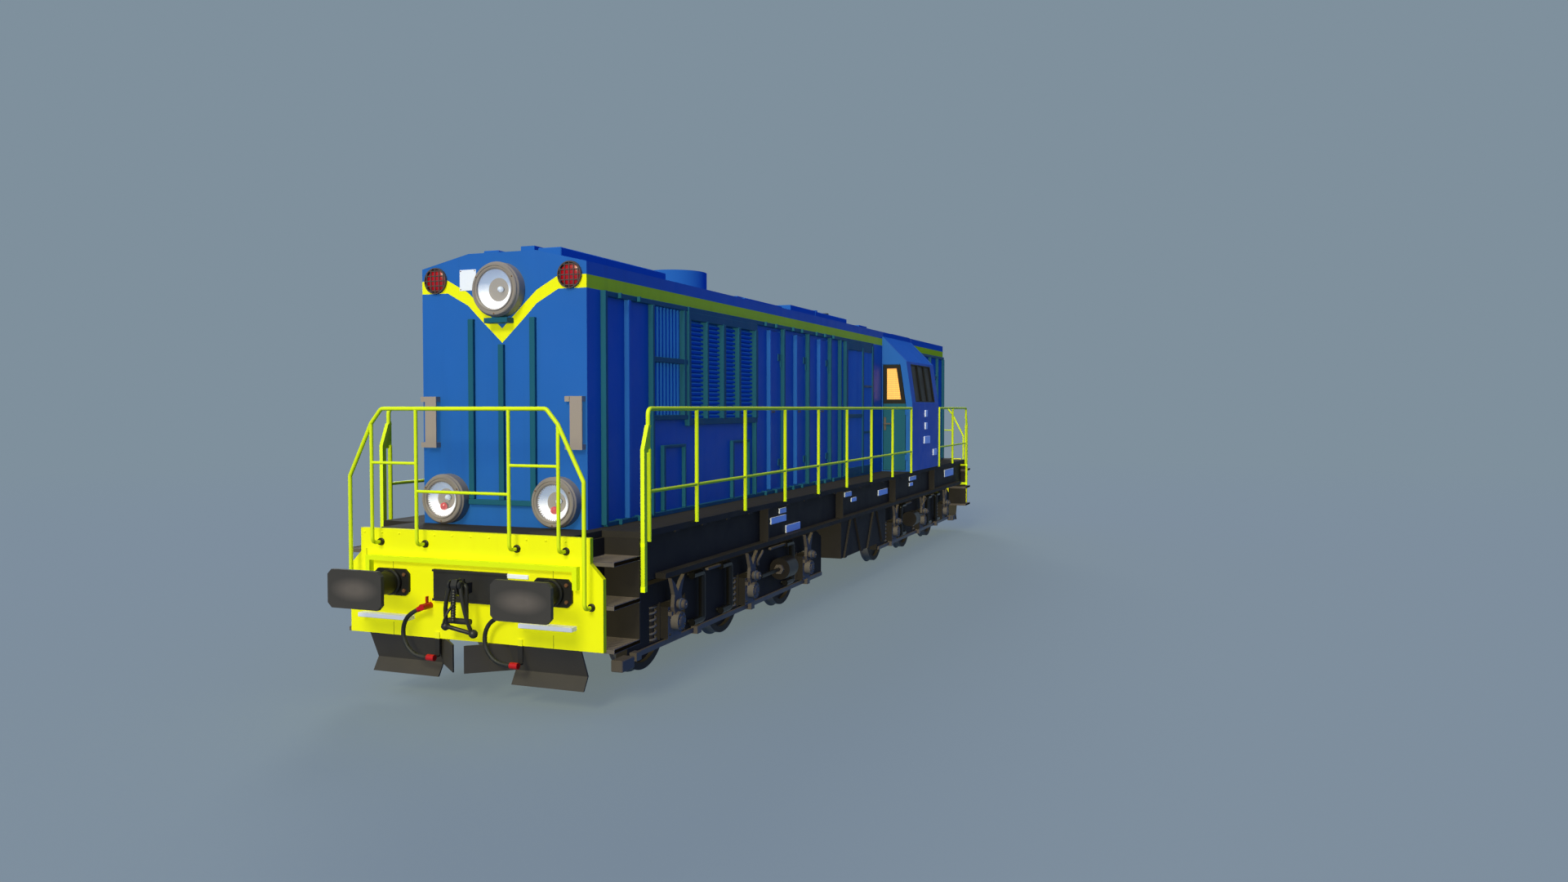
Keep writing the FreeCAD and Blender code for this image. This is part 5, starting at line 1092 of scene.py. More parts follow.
# couplings
coupling = {
    # steps from the buffers' height at the beam's face
    "seat": (0.165, 0.045), "foot": (-0.110, 0.02, -0.395),
    # sideways and down at the lower end of each link
    "links": ((0.115, 0.045), (-0.155, -0.02)), "linkTop": (0.055, 0.052, 0.015),
    "linkBend": (0.085, 0.75, -0.19), "linkOut": 0.115, "linkRadius": 0.019,
    "ball": [(0.012, -0.036), (0.030, -0.028), (0.040, -0.008), (0.040, 0.010), (0.028, 0.030),
             (0.020, 0.036)],
    "bar": (0.019, 0.268), "barLong": 0.304, "barStart": (0.115, -0.170, 0.012),
    "barLean": (0.985, -0.17), "threads": 12, "thread": 0.024, "screwStart": (0.075, 0.0, -0.03),
    "screwEnd": (0.016, 0.295), "screwLean": (-0.02, -0.06, -1.0),
    "leverStart": (0.070, 0.0, -0.15), "leverReach": (0.065, -0.075, -0.19), "leverBow": 0.03,
    "leverRadius": 0.011, "pinAt": (0.055, 0, 0.005),
    "pin": [(0.030, -0.070), (0.040, -0.062), (0.040, -0.046), (0.020, -0.040), (0.020, 0.040),
            (0.040, 0.046), (0.040, 0.062), (0.030, 0.070)],
}


def makeCouplings():
    # two links spread from the trunnion on the hook to a bar with ball ends, the screw between them
    out, rise = coupling["seat"]
    seat = np.array([place["headFace"] + out, 0, place["bufferZ"] + rise])
    foot = seat + coupling["foot"]
    links, levers = [], []
    for end in (1, -1):
        turn = np.array([end, end, 1.0])
        t = np.linspace(0, 1, 14)[:, None]
        for shift, drop in coupling["links"]:
            x, y, z = coupling["linkTop"]
            top = seat + [x, math.copysign(y, shift), z]
            x, y, z = coupling["linkBend"]
            middle = seat + [x, y * shift, z]
            low = foot + [coupling["linkOut"], shift, -drop]
            links.append(((1 - t) ** 2 * top + 2 * t * (1 - t) * middle + t ** 2 * low) * turn)
        t = np.linspace(0, 1, 12)[:, None]
        first = seat + coupling["leverStart"]
        last = first + coupling["leverReach"]
        bow = [coupling["leverBow"], 0, 0] * np.sin(math.pi * t)
        levers.append(((1 - t) * first + t * last + bow) * turn)
    pipes("coupling_links", np.array(links), coupling["linkRadius"], materials["iron"],
          normal=(1, 0, 0), around=12)
    ball, long = coupling["ball"], coupling["barLong"]
    bar = ball + [coupling["bar"]] + [(r, long - h) for r, h in ball[::-1]]
    across, down = coupling["barLean"]
    turned("coupling_trunnions", bar, pointsBothEnds([foot + coupling["barStart"]]),
           [[0, across, down], [0, -across, down]], materials["iron"], around=20, sharp=60)
    screw = [(0.024, 0.0)]
    for k in range(coupling["threads"]):
        rise = coupling["thread"] * k
        screw += [(0.0165, 0.004 + rise), (0.022, 0.016 + rise)]
    screw.append(coupling["screwEnd"])
    turned("coupling_screws", screw, pointsBothEnds([seat + coupling["screwStart"]]),
           pointsBothEnds([coupling["screwLean"]]), materials["iron"], around=16)
    pipes("coupling_levers", np.array(levers), coupling["leverRadius"], materials["iron"],
          normal=(1, 0, 0), around=10)
    turned("coupling_pins", coupling["pin"], pointsBothEnds([seat + coupling["pinAt"]]), [0, 1, 0],
           materials["iron"], around=18)


makeCouplings()

# ribs and front lips on the steps' treads
treads = {"first": 0.22, "inner": 1.075, "length": 0.48, "start": 0.006, "ribStart": 0.045,
          "ribPitch": 0.046, "ribWide": 0.012, "ribLow": 0.002, "ribHigh": 0.004, "margin": 0.03,
          "lipShort": 0.003, "lipWide": 0.014, "lipLow": 0.034, "lipHigh": 0.007}


def makeTreads():
    rows, lips = [], []
    start, outer = place["frameEnd"] + treads["start"], place["frameHalf"]
    end, margin = start + treads["length"], treads["margin"]
    for k in range(3):
        top = place["deck"] - treads["first"] - treadBands["pitch"] * k
        for x in np.arange(start + treads["ribStart"], end - margin, treads["ribPitch"]):
            rows.append((x, x + treads["ribWide"], treads["inner"] + margin, outer - margin,
                         top - treads["ribLow"], top + treads["ribHigh"]))
        lips.append((start, end - treads["lipShort"], outer - treads["lipWide"], outer,
                     top - treads["lipLow"], top + treads["lipHigh"]))
    blocks("tread_ribs", otherEnd(otherSide(rows)), materials["trim"], cut=0.002)
    blocks("tread_lips", otherEnd(otherSide(lips)), materials["trim"], cut=0.003)


makeTreads()

web = {"deep": 0.110, "plateSunk": 0.004, "plateProud": 0.016,
       "plates": [(3.436, 3.665, 1.406, 1.470), (3.436, 3.953, 1.300, 1.381),
                  (2.923, 3.436, 1.144, 1.238), (0.666, 0.989, 1.404, 1.474),
                  (0.415, 0.665, 1.308, 1.369), (-1.358, -0.809, 1.287, 1.379),
                  (-3.335, -2.848, 1.402, 1.474), (-3.090, -2.849, 1.306, 1.365),
                  (-6.602, -5.762, 1.297, 1.446)],
       # start, end and pitch along the frame
       "cleats": (-7.0, 7.1, 0.62), "cleatWide": 0.09, "cleatIn": (0.02, 0.001),
       "cleatDrop": (0.078, 0.060), "rivets": (-6.8, 6.9, 0.4), "rivetIn": 0.06,
       "rivet": [(0.012, 0), (0.011, 0.005), (0.006, 0.010), (0.001, 0.011)]}


def makeWebPlates():
    half, deck = place["frameHalf"], place["deck"]
    face = half - web["deep"]
    rows = [(x0, x1, face - web["plateSunk"], face + web["plateProud"], z0, z1)
            for x0, x1, z0, z1 in web["plates"]]
    blocks("web_plates", otherSide(rows), materials["plate"], cut=0.003)
    (inner, outer), (low, high) = web["cleatIn"], web["cleatDrop"]
    rows = [(x, x + web["cleatWide"], half - inner, half - outer, deck - low, deck - high)
            for x in np.arange(*web["cleats"])]
    blocks("deck_cleats", otherSide(rows), materials["deck"], cut=0.003)
    spots = [(x, half - web["rivetIn"], place["sill"]) for x in np.arange(*web["rivets"])]
    turned("flange_rivets", web["rivet"], pointsBothSides(spots), [0, 0, -1],
           materials["deck"], around=8, sharp=60)


makeWebPlates()
print("frame trim done")

# walkway rails
rails = {"end": 7.336, "high": 1.12, "knee": 0.15, "heel": 0.37, "bend": 0.06, "tube": 0.021,
         "bar": 0.017, "barRise": 0.36, "pitch": 1.256, "gap": 0.04, "toe": 0.088, "square": 0.025,
         "wide": 0.020, "gusset": 0.006, "gussetRise": 0.02, "gussetIn": 0.01, "gussetDrop": 0.03,
         "postFoot": 0.016, "shortFoot": 0.10, "reach": 0.11, "lug": 0.04, "tread": 0.052,
         "frontPosts": 8, "rearPosts": 2}


def roundedPath(points, radius):
    # straight runs joined by quadratic curves between points set back from each corner
    out, t = [points[0]], np.linspace(0, 1, 6)[:, None]
    for before, at, after in zip(points[:-2], points[1:-1], points[2:]):
        first = at - radius * (at - before) / np.linalg.norm(at - before)
        last = at + radius * (after - at) / np.linalg.norm(after - at)
        out += list((1 - t) ** 2 * first + 2 * t * (1 - t) * at + t ** 2 * last)
    return np.array(out + [points[-1]])


def sidePlates(name, plates, material):
    # each outline in x and z carried a set width to both sides of its middle
    verts, faces = [], []
    for outline, middle, wide in plates:
        outline = np.array(outline)
        x, z = outline[:, 0], outline[:, 1]
        turn = np.sum(x * np.roll(z, -1) - z * np.roll(x, -1)) > 0
        count, base = len(outline), len(verts)
        for y in (middle - wide, middle + wide):
            verts += [(a, y, c) for a, c in outline]
        plate = [list(range(count)), list(range(2 * count - 1, count - 1, -1))]
        plate += [[k, k + count, (k + 1) % count + count, (k + 1) % count] for k in range(count)]
        faces += [[base + k for k in (loop if turn else loop[::-1])] for loop in plate]
    addMesh(name, verts, faces, material)


def makeRails():
    deck, y = place["deck"], place["frameHalf"] + rails["tube"]
    top, end, drop = deck + rails["high"], rails["end"], deck - rails["shortFoot"]
    knee, heel, foot = top - rails["knee"], top - rails["heel"], place["sill"] - rails["tread"]
    back, front = end + rails["toe"] - rails["square"], end + rails["toe"] + rails["square"]
    short, rise = end - rails["bar"], deck + rails["barRise"]
    outline = [(end - rails["square"], knee), (end + rails["square"], knee), (front, heel),
               (front, foot), (back, foot), (back, heel)]
    head, tail = knee + rails["gussetRise"], heel - rails["gussetDrop"]
    gusset = [(short - rails["bar"], head), (end, head), (back + rails["gussetIn"], tail),
              (short - rails["bar"], tail)]
    tops, posts, stubs, bars, plates, feet = [], [], [], [], [], []
    for way, start, count in ((1, place["cabFront"] + rails["gap"], rails["frontPosts"]),
                              (-1, rails["gap"] - place["cabRear"], rails["rearPosts"])):
        for side in (y, -y):
            corners = [(way * end, side, knee - rails["square"]), (way * end, side, top),
                       (way * start, side, top)]
            tops.append(roundedPath(np.array(corners), rails["bend"]))
            bars.append([(way * start, side, rise), (way * short, side, rise)])
            stubs.append([(way * short, side, drop), (way * short, side, heel)])
            for k in range(count):
                x = way * (start + rails["tube"] + k * rails["pitch"])
                posts.append([(x, side, deck - rails["postFoot"]), (x, side, top)])
            for shape, wide in ((outline, rails["wide"]), (gusset, rails["gusset"])):
                plates.append(([(way * a, c) for a, c in shape], side, wide))
            inner = math.copysign(place["frameHalf"] - rails["reach"], side)
            outer = side + math.copysign(rails["tube"], side)
            feet += [(way * back, way * front, inner, outer, foot, foot + rails["tread"]),
                     (way * back, way * front, inner, outer, drop - rails["lug"], drop)]
    # rails in the greener yellow, which carries painted shade
    shadeTintedYellow, across = materials["shadeTintedYellow"], (0, 1, 0)
    whole = pipes("side_rail_tops", np.array(tops), rails["tube"], shadeTintedYellow, around=16, normal=across)
    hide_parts("side_railings")
    pipes("side_rail_bars", np.array(bars), rails["bar"], shadeTintedYellow, around=14, normal=across)
    pipes("side_rail_posts", np.array(posts + stubs), rails["tube"], shadeTintedYellow, around=16, normal=across)
    sidePlates("side_rail_ends", plates, shadeTintedYellow)
    blocks("side_rail_feet", feet, shadeTintedYellow, cut=0.003)


makeRails()
print("rails done")

gussets = {"back": 0.128, "front": 0.006, "deep": 0.250, "middle": 0.407, "thick": 0.006}


def makePloughGussets():
    # webs that close the corner between each blade and its wing
    top, back = place["foot"], place["headFace"] - gussets["back"]
    outline = [(back, top - gussets["deep"]), (place["headFace"] - gussets["front"], top),
               (back, top)]
    plates = [([(way * x, z) for x, z in outline], side * gussets["middle"], gussets["thick"])
              for way in (1, -1) for side in (1, -1)]
    sidePlates("plough_gussets", plates, materials["blade"])


makePloughGussets()

# bogies
springs = {"offset": 0.285, "y": 1.08, "radius": 0.063, "wire": 0.0135, "turns": 5.3, "low": 0.393,
           "high": 0.753, "steps": 150, "endPart": 0.12, "endPitch": 0.35,
           "cup": [(0.0505, 0.0), (0.082, 0.0), (0.082, 0.010), (0.076, 0.012), (0.0505, 0.012)]}


def makeSprings():
    # coil: middle + radius * (cos, sin) of the angle, rising evenly with flattened end turns
    low, high, radius, thick = springs["low"], springs["high"], springs["radius"], springs["wire"]
    t = np.linspace(0, 1, springs["steps"])
    angle = t * springs["turns"] * 2 * math.pi
    inward = np.clip(np.minimum(t, 1 - t) / springs["endPart"], 0, 1)
    climb = np.cumsum(springs["endPitch"] + (1 - springs["endPitch"]) * inward)
    z = low + thick + (climb - climb[0]) / (climb[-1] - climb[0]) * (high - low - 2 * thick)
    lid = [(r, high - low - h) for r, h in springs["cup"]]
    for name, middle in bogies.items():
        seats = np.array([(axle + shift, side * springs["y"], low) for axle in middle + axlePitch
                          for shift in (springs["offset"], -springs["offset"]) for side in (1, -1)])
        paths = [np.stack([x + radius * np.cos(angle), y + radius * np.sin(angle), z], axis=1)
                 for x, y in seats[:, :2]]
        pipes(name + "_springs", np.array(paths), thick, materials["spring"], name, around=8)
        turned(name + "_spring_cups", springs["cup"][::-1], seats, [0, 0, 1],
               materials["bogie"], name, around=28, closed=True)
        turned(name + "_spring_lids", lid, seats, [0, 0, 1], materials["bogie"], name, around=28,
               closed=True)


materials["spring"] = paint("springSteel", tone(104, 96, 86), dust=0.10, gloss=0.34, bump=0.001,
                            shine=0.5)
makeSprings()

# steps from each axle's middle; profiles of radius and height
boxTrim = {
    "capBolts": 6, "capRing": 0.075, "capFace": 1.300, "pinFace": 1.340, "pinRise": 0.175,
    "boltFace": 1.220, "boltX": 0.115, "boltZ": 0.12,
    "centre": [(0.045, 0), (0.052, 0.0), (0.052, 0.006), (0.040, 0.010), (0.004, 0.010),
               (0.004, 0.0)],
    "washer": [(0.0425, -0.001), (0.0425, 0.006), (0.030, 0.010), (0.012, 0.010), (0.010, 0.022),
               (0.002, 0.022)],
    "sleeve": [(0.0478, -0.052), (0.060, -0.050), (0.060, -0.030), (0.0478, -0.026)],
}


def bothWays(count):
    return np.vstack([np.tile([0, 1.0, 0], (count, 1)), np.tile([0, -1.0, 0], (count, 1))])


def makeAxleboxTrim():
    for name, middle in bogies.items():
        caps, rims, pins, feet, level = [], [], [], [], place["axle"]
        for axle in middle + axlePitch:
            for k in range(boxTrim["capBolts"]):
                angle = math.pi / 6 + k * math.pi / 3
                caps.append((axle + boxTrim["capRing"] * math.cos(angle), boxTrim["capFace"],
                             level + boxTrim["capRing"] * math.sin(angle)))
            rims.append((axle, boxTrim["capFace"], level))
            pins.append((axle, boxTrim["pinFace"], level + boxTrim["pinRise"]))
            feet += [(axle + x, boxTrim["boltFace"], level + z)
                     for z in (-boxTrim["boltZ"], boxTrim["boltZ"])
                     for x in (-boxTrim["boltX"], boxTrim["boltX"])]
        for label, spots, size, height in (("_cap_bolts", caps, 0.011, 0.010),
                                           ("_box_bolts", feet, 0.014, 0.014)):
            bolts(name + label, pointsBothSides(spots), bothWays(len(spots)),
                  materials["iron"], name, size=size, height=height)
        turned(name + "_cap_centres", boxTrim["centre"], pointsBothSides(rims), bothWays(len(rims)),
               materials["trim"], name, around=28)
        turned(name + "_pin_ends", boxTrim["washer"], pointsBothSides(pins), bothWays(len(pins)),
               materials["trim"], name, around=24)
        turned(name + "_pin_collars", boxTrim["sleeve"][::-1], pointsBothSides(pins),
               bothWays(len(pins)), materials["axlePin"], name, around=28, closed=True)


underParts = {"bars": [(5.03, 5.46, 1.17, 1.21, 0.945, 0.975),
                       (3.05, 3.59, 1.17, 1.21, 0.938, 0.968)],
              "rodEnd": (7.166, 7.400, 1.108, 1.230, 0.268, 0.376), "strapX": 4.17, "strapY": 1.30,
              "strapZ": (0.84, 1.01), "strapBow": 0.045, "strapHook": 0.03, "strapRadius": 0.016}


def makeUnderParts():
    # bars along the bogie's side, the pull rod's end block, and a curved strap over the middle box
    low, high = underParts["strapZ"]
    t = np.linspace(0, 1, 12)
    x = underParts["strapX"] + underParts["strapBow"] * np.sin(math.pi * t)
    y = underParts["strapY"] - underParts["strapHook"] * np.cos(math.pi * t)
    for name, end in (("bogie_front", 1), ("bogie_rear", -1)):
        rows = otherSide([*underParts["bars"], underParts["rodEnd"]]) * [end, end, end, end, 1, 1]
        blocks(name + "_side_bars", rows, materials["trim"], name, cut=0.006)
        paths = [np.stack([end * x, end * side * y, low + (high - low) * t], axis=1)
                 for side in (1, -1)]
        pipes(name + "_straps", np.array(paths), underParts["strapRadius"], materials["trim"], name,
              around=10, normal=(1, 0, 0))


loops = {"places": [1.30, 0.56, -1.48], "arm": 0.255, "y": 1.20, "low": 0.448, "high": 0.948,
         "radius": 0.0385, "corner": 0.05}
pockets = {"behind": 0.098, "thick": 0.012, "y": (0.985, 1.150), "z": (0.385, 0.768)}


def makeLoopSleeves():
    # black rubber sleeves over the safety loops, and the walls of the spring pockets
    low, high, half = loops["low"], loops["high"], pockets["thick"] / 2
    for name, end in (("bogie_front", 1), ("bogie_rear", -1)):
        middle, paths, rows = bogies[name], [], []
        for side in (1, -1):
            y = side * loops["y"]
            for shift in loops["places"]:
                x = middle + end * shift
                tail = x + end * loops["arm"]
                corners = [(tail, y, low), (x, y, low), (x, y, high), (tail, y, high)]
                paths.append(roundedPath(np.array(corners), loops["corner"]))
            inner, outer = (side * across for across in pockets["y"])
            for axle in axlePitch:
                for shift in (springs["offset"], -springs["offset"]):
                    x = middle + axle + shift - end * pockets["behind"]
                    rows.append((x - half, x + half, inner, outer, *pockets["z"]))
        pipes(name + "_loop_sleeves", np.array(paths), loops["radius"], materials["sleeve"], name,
              around=16, normal=(0, 1, 0))
        blocks(name + "_spring_pockets", rows, materials["bogie"], name, cut=0.003)


materials["sleeve"] = paint("sleeveRubber", colours["black"], dust=0.01, gloss=0.24, bump=0.0005,
                            shine=0.3)
makeUnderParts()
makeLoopSleeves()
materials["axlePin"] = paint("pinCollar", tone(96, 98, 104), dust=0.08, gloss=0.4)
makeAxleboxTrim()
wheelBands = {"tread": 0.521, "hub": 0.068, "joint": (0.447, 0.455)}


def makeWheelMaterial(name, middle):
    # the tread is bright where it runs, the rest is brown with dust
    def painter(tree, x, y, z):
        away = radial(tree, calc(tree, "SUBTRACT", x, middle),
                      calc(tree, "SUBTRACT", z, place["axle"]))
        bright = either(tree, above(tree, away, wheelBands["tread"]),
                        below(tree, away, wheelBands["hub"]))
        base = pick(tree, bright, tone(50, 44, 38), tone(120, 114, 106))
        return pick(tree, within(tree, away, *wheelBands["joint"]), base, tone(34, 30, 26))
    return paint(name, None, painter=painter, dust=0.15, grain=120.0, gloss=0.5, bump=0.002)


def makeWindowGlass():
    material, tree, shader = newMaterial("cabGlass")
    coords = objectCoords(tree)
    smear = noise(tree, coords, 3.0, 5.0)
    wire(tree, pick(tree, ramp(tree, smear, 0.35, 0.7), tone(58, 44, 24), tone(66, 52, 30)),
         shader.inputs["Base Color"])
    wire(tree, ramp(tree, smear, 0.4, 0.7, 0.30, 0.42), shader.inputs["Roughness"])
    wire(tree, ramp(tree, smear, 0.3, 0.7, 0.92, 0.97), shader.inputs["Alpha"])
    shader.inputs["Specular IOR Level"].default_value = 0.08
    return material


blind = {"pitch": 0.036, "thread": 0.42, "glow": 0.45, "margin": 0.003, "wallGrown": 0.01,
         "front": 0.0125, "back": 0.0155}


def makeAmberBlind():
    # a woven blind behind the end windows, glowing by itself as painted light from inside: threads
    # where |sine| is near nought
    material, tree, shader = newMaterial("amberBlind")
    waves = [unsigned(tree, calc(tree, "SINE", times(tree, value, math.pi / blind["pitch"])))
             for value in objectAxes(tree)[1:]]
    weave = either(tree, *(below(tree, wave, blind["thread"]) for wave in waves))
    colour = pick(tree, weave, tone(255, 165, 88), tone(255, 205, 96))
    wire(tree, colour, shader.inputs["Base Color"])
    wire(tree, colour, shader.inputs["Emission Color"])
    shader.inputs["Emission Strength"].default_value = blind["glow"]
    worn = noise(tree, objectCoords(tree), 40.0)
    wire(tree, ramp(tree, worn, 0.3, 0.7, 0.7, 0.85), shader.inputs["Roughness"])
    addRelief(tree, shader, weave, 0.002)
    return material


materials["glass"] = makeWindowGlass()
materials["amber"] = makeAmberBlind()

# cab
cab = {"doorInner": 0.945, "doorOuter": 1.345, "lean": 0.111 / 0.74, "margin": 0.06, "head": 0.68,
       # front and rear end, low and high edge
       "plates": [(-3.66, -3.50, 2.549, 2.674), (-3.66, -3.50, 2.319, 2.444),
                  (-3.87, -3.43, 2.055, 2.190), (-4.44, -4.16, 1.812, 1.932)],
       "plateSunk": 0.01, "plateProud": 0.02,
       # how far a window's rubber reaches outside and inside its edge, and its two depths
       "doorRubber": (0.034, -0.006), "wallRubber": (0.03, -0.012), "rubberDepth": (0.0005, 0.012),
       # out from the wall, across from the door's inner edge, height: plate, neck and lever
       "handle": [(0.0, 0.012, 0.012, 0.052, 2.318, 2.548), (0.01, 0.05, 0.022, 0.042, 2.42, 2.446),
                  (0.04, 0.06, 0.015, 0.150, 2.418, 2.448)]}


def paneRing(inset, outset, way=1):
    # corners of an end window grown outward by a width; its outer edge leans in towards the roof
    grown = inset - outset
    low, high = place["belt"] + grown, place["belt"] + cab["head"] - grown
    inner = cab["doorInner"] + grown
    outer = [cab["doorOuter"] - grown - cab["lean"] * (z - place["belt"]) for z in (low, high)]
    return [(way * y, z) for y, z in ((inner, low), (outer[0], low), (outer[1], high),
                                      (inner, high))]


def frameMesh(name, outer, inner, depths, material, rides):
    # a four-cornered frame: outer and inner loop at two depths, joined all round
    verts = [(x, y, z) for ring in (outer, inner) for x in depths for y, z in ring]
    outerBack, outerFront, innerBack, innerFront = 0, 4, 8, 12
    faces = []
    for k in range(4):
        n = (k + 1) % 4
        for first, second in ((outerBack, outerFront), (outerFront, innerFront),
                              (innerFront, innerBack), (innerBack, outerBack)):
            faces.append([first + k, first + n, second + n, second + k])
    addMesh(name, verts, faces, material, rides)


def makeCabTrim():
    for end, door, wall in ((1, "cab_door_front", "front"), (-1, "cab_door_rear", "rear")):
        base = place["cabFront"] if end > 0 else place["cabRear"]
        depths = [base + end * depth for depth in cab["rubberDepth"]]
        for name, inset, reaches, way, rides in (
                ("door_gasket_", cab["margin"], cab["doorRubber"], end, door),
                ("window_gasket_", 0.0, cab["wallRubber"], -end, body)):
            outer, inner = (paneRing(inset, grown, way) for grown in reaches)
            frameMesh(name + wall, outer, inner, depths, materials["gasket"], rides)
        rows = [(base + end * x0, base + end * x1, end * (cab["doorInner"] + y0),
                 end * (cab["doorInner"] + y1), z0, z1) for x0, x1, y0, y1, z0, z1 in cab["handle"]]
        blocks("door_handle_" + wall, rows, materials["trim"], door, cut=0.005)
        # blind behind the door's pane, and behind the fixed pane
        depths = (base - end * blind["front"], base - end * blind["back"])
        for sign, rides, label in ((1, door, "door"), (-1, body, "wall")):
            ring = paneRing(cab["margin"] + blind["margin"] if sign > 0 else -blind["wallGrown"],
                            0.0, sign * end)
            verts = [(depth, y, z) for depth in depths for y, z in ring]
            faces = [[0, 1, 2, 3], [7, 6, 5, 4]]
            faces += [[k, k + 4, (k + 1) % 4 + 4, (k + 1) % 4] for k in range(4)]
            addMesh("blind_%s_%s" % (label, wall), verts, faces, materials["amber"], rides)
    inner, outer = place["cabHalf"] - cab["plateSunk"], place["cabHalf"] + cab["plateProud"]
    rows = [(x0, x1, inner, outer, z0, z1) for x0, x1, z0, z1 in cab["plates"]]
    blocks("cab_plates", otherSide(rows), materials["plate"], cut=0.003)


doorTrim = {"back": 0.005, "proud": 0.050, "batten": (0.048, 0.001), "foot": 0.065,
            "topDrop": 0.095,
            # setback of both ends, depth of both faces, height of both edges above the deck
            "latch": [(0.150, 0.075, 0.0, 0.010, 1.02, 1.13),
                      (0.135, 0.090, 0.0, 0.030, 1.065, 1.085),
                      (0.215, 0.100, 0.022, 0.036, 1.062, 1.088)]}


def makeEngineDoorTrim():
    half, front, deck = place["hoodHalf"], place["hoodFront"], place["deck"]
    for k, setback in enumerate(battens["doorSeams"]):
        for side, label in ((1, "left"), (-1, "right")):
            node = "engine_door_%s_%d" % (label, k + 1)
            edge = front - setback
            first, last = doorTrim["batten"]
            batten = (edge - first, edge - last, side * (half - doorTrim["back"]),
                      side * (half + doorTrim["proud"]), deck + doorTrim["foot"],
                      stripe["low"] - doorTrim["topDrop"])
            blocks(node + "_batten", [batten], materials["blue"], node)
            rows = [(edge - x0, edge - x1, side * (half + y0), side * (half + y1), deck + z0,
                     deck + z1) for x0, x1, y0, y1, z0, z1 in doorTrim["latch"]]
            blocks(node + "_latch", rows, materials["trim"], node, cut=0.004)


makeCabTrim()
makeEngineDoorTrim()
print("cab and doors done")

# roof
guard = {"drop": 0.008, "around": 72, "rings": (0.06, 0.13, 0.20, 0.27, 0.34), "wire": 0.005,
         "spokes": 12, "spoke": (0.055, 0.385)}


def makeFanGuard():
    low, high = corner("fan_cowl")
    x, y = ((low + high) / 2)[:2]
    top = high[2] - guard["drop"]
    angle = np.arange(guard["around"]) * 2 * math.pi / guard["around"]
    rings = [np.stack([x + r * np.cos(angle), y + r * np.sin(angle), np.full(guard["around"], top)],
                      axis=1)
             for r in guard["rings"]]
    pipes("fan_guard_rings", np.array(rings), guard["wire"], materials["iron"],
          around=6, closed=True)
    r = np.linspace(*guard["spoke"], 4)
    spokes = [np.stack([x + r * math.cos(angle), y + r * math.sin(angle),
                        np.full(4, top - guard["drop"])], axis=1)
              for angle in np.arange(guard["spokes"]) * 2 * math.pi / guard["spokes"]]
    pipes("fan_guard_spokes", np.array(spokes), guard["wire"], materials["iron"], around=6)


makeFanGuard()

roof = {"boxes": [(-2.42, -0.72, -0.30, 0.30, 0.0, 0.105), (-0.22, 0.14, -0.20, 0.20, 0.108, 0.136),
                  (7.16, 7.42, -0.248, -0.076, 0.0, 0.030),
                  (5.25, 7.40, 0.345, 0.600, -0.06, 0.030),
                  (2.30, 2.50, 0.300, 0.400, -0.01, 0.024), (3.30, 3.42, -0.10, 0.10, 0.0, 0.020),
                  (-6.90, -6.70, 0.20, 0.30, 0.0, 0.045)], "boxSunk": 0.004,
        "pegs": [(-1.65, 0.15), (-1.65, -0.15)],
        "peg": [(0.065, 0.09), (0.065, 0.14), (0.057, 0.15), (0.051, 0.15), (0.051, 0.10),
                (0.002, 0.10)],
        "studs": (-7.2, 7.3, 0.6), "studY": 0.36, "studSunk": 0.02, "clear": (-4.9, -2.3)}


def makeRoofBoxes():
    crown = place["crown"]
    rows = [(x0, x1, y0, y1, crown + z0 - roof["boxSunk"], crown + z1)
            for x0, x1, y0, y1, z0, z1 in roof["boxes"]]
    blocks("roof_boxes", rows, materials["roof"], cut=0.008)
    turned("roof_pipes", roof["peg"], [(x, y, crown) for x, y in roof["pegs"]], [0, 0, 1],
           materials["iron"], around=28)
    first, last = roof["clear"]
    studs = [(x, y, crown - roof["studSunk"]) for x in np.arange(*roof["studs"])
             for y in (-roof["studY"], roof["studY"]) if not first < x < last]
    bolts("roof_studs", studs, [0, 0, 1], materials["roof"], size=0.016, height=0.030)


makeRoofBoxes()

# driver's seats and desk
seats = {"inset": 0.23, "shift": 0.02, "high": 0.372, "padRise": 0.052, "pad": (0.21, 0.215, 0.055),
         "backShift": 0.185, "backRise": 0.40, "back": (0.042, 0.205, 0.26),
         "post": [(0.17, 0.0), (0.17, 0.018), (0.045, 0.035), (0.040, 0.12), (0.032, 0.125),
                  (0.032, 0.345), (0.15, 0.352), (0.15, 0.372), (0.01, 0.372)],
         # ends along, half width, low and high edge from the seat's underside
         "shells": [(-0.205, 0.20, 0.205, -0.004, 0.012), (-0.226, -0.212, 0.16, 0.0, 0.60)]}
quilt = {"sides": 64, "rings": 40, "seam": 0.42, "seamWide": 0.035, "seamDeep": 0.22,
         "beltWide": 0.12, "beltDeep": 0.025}


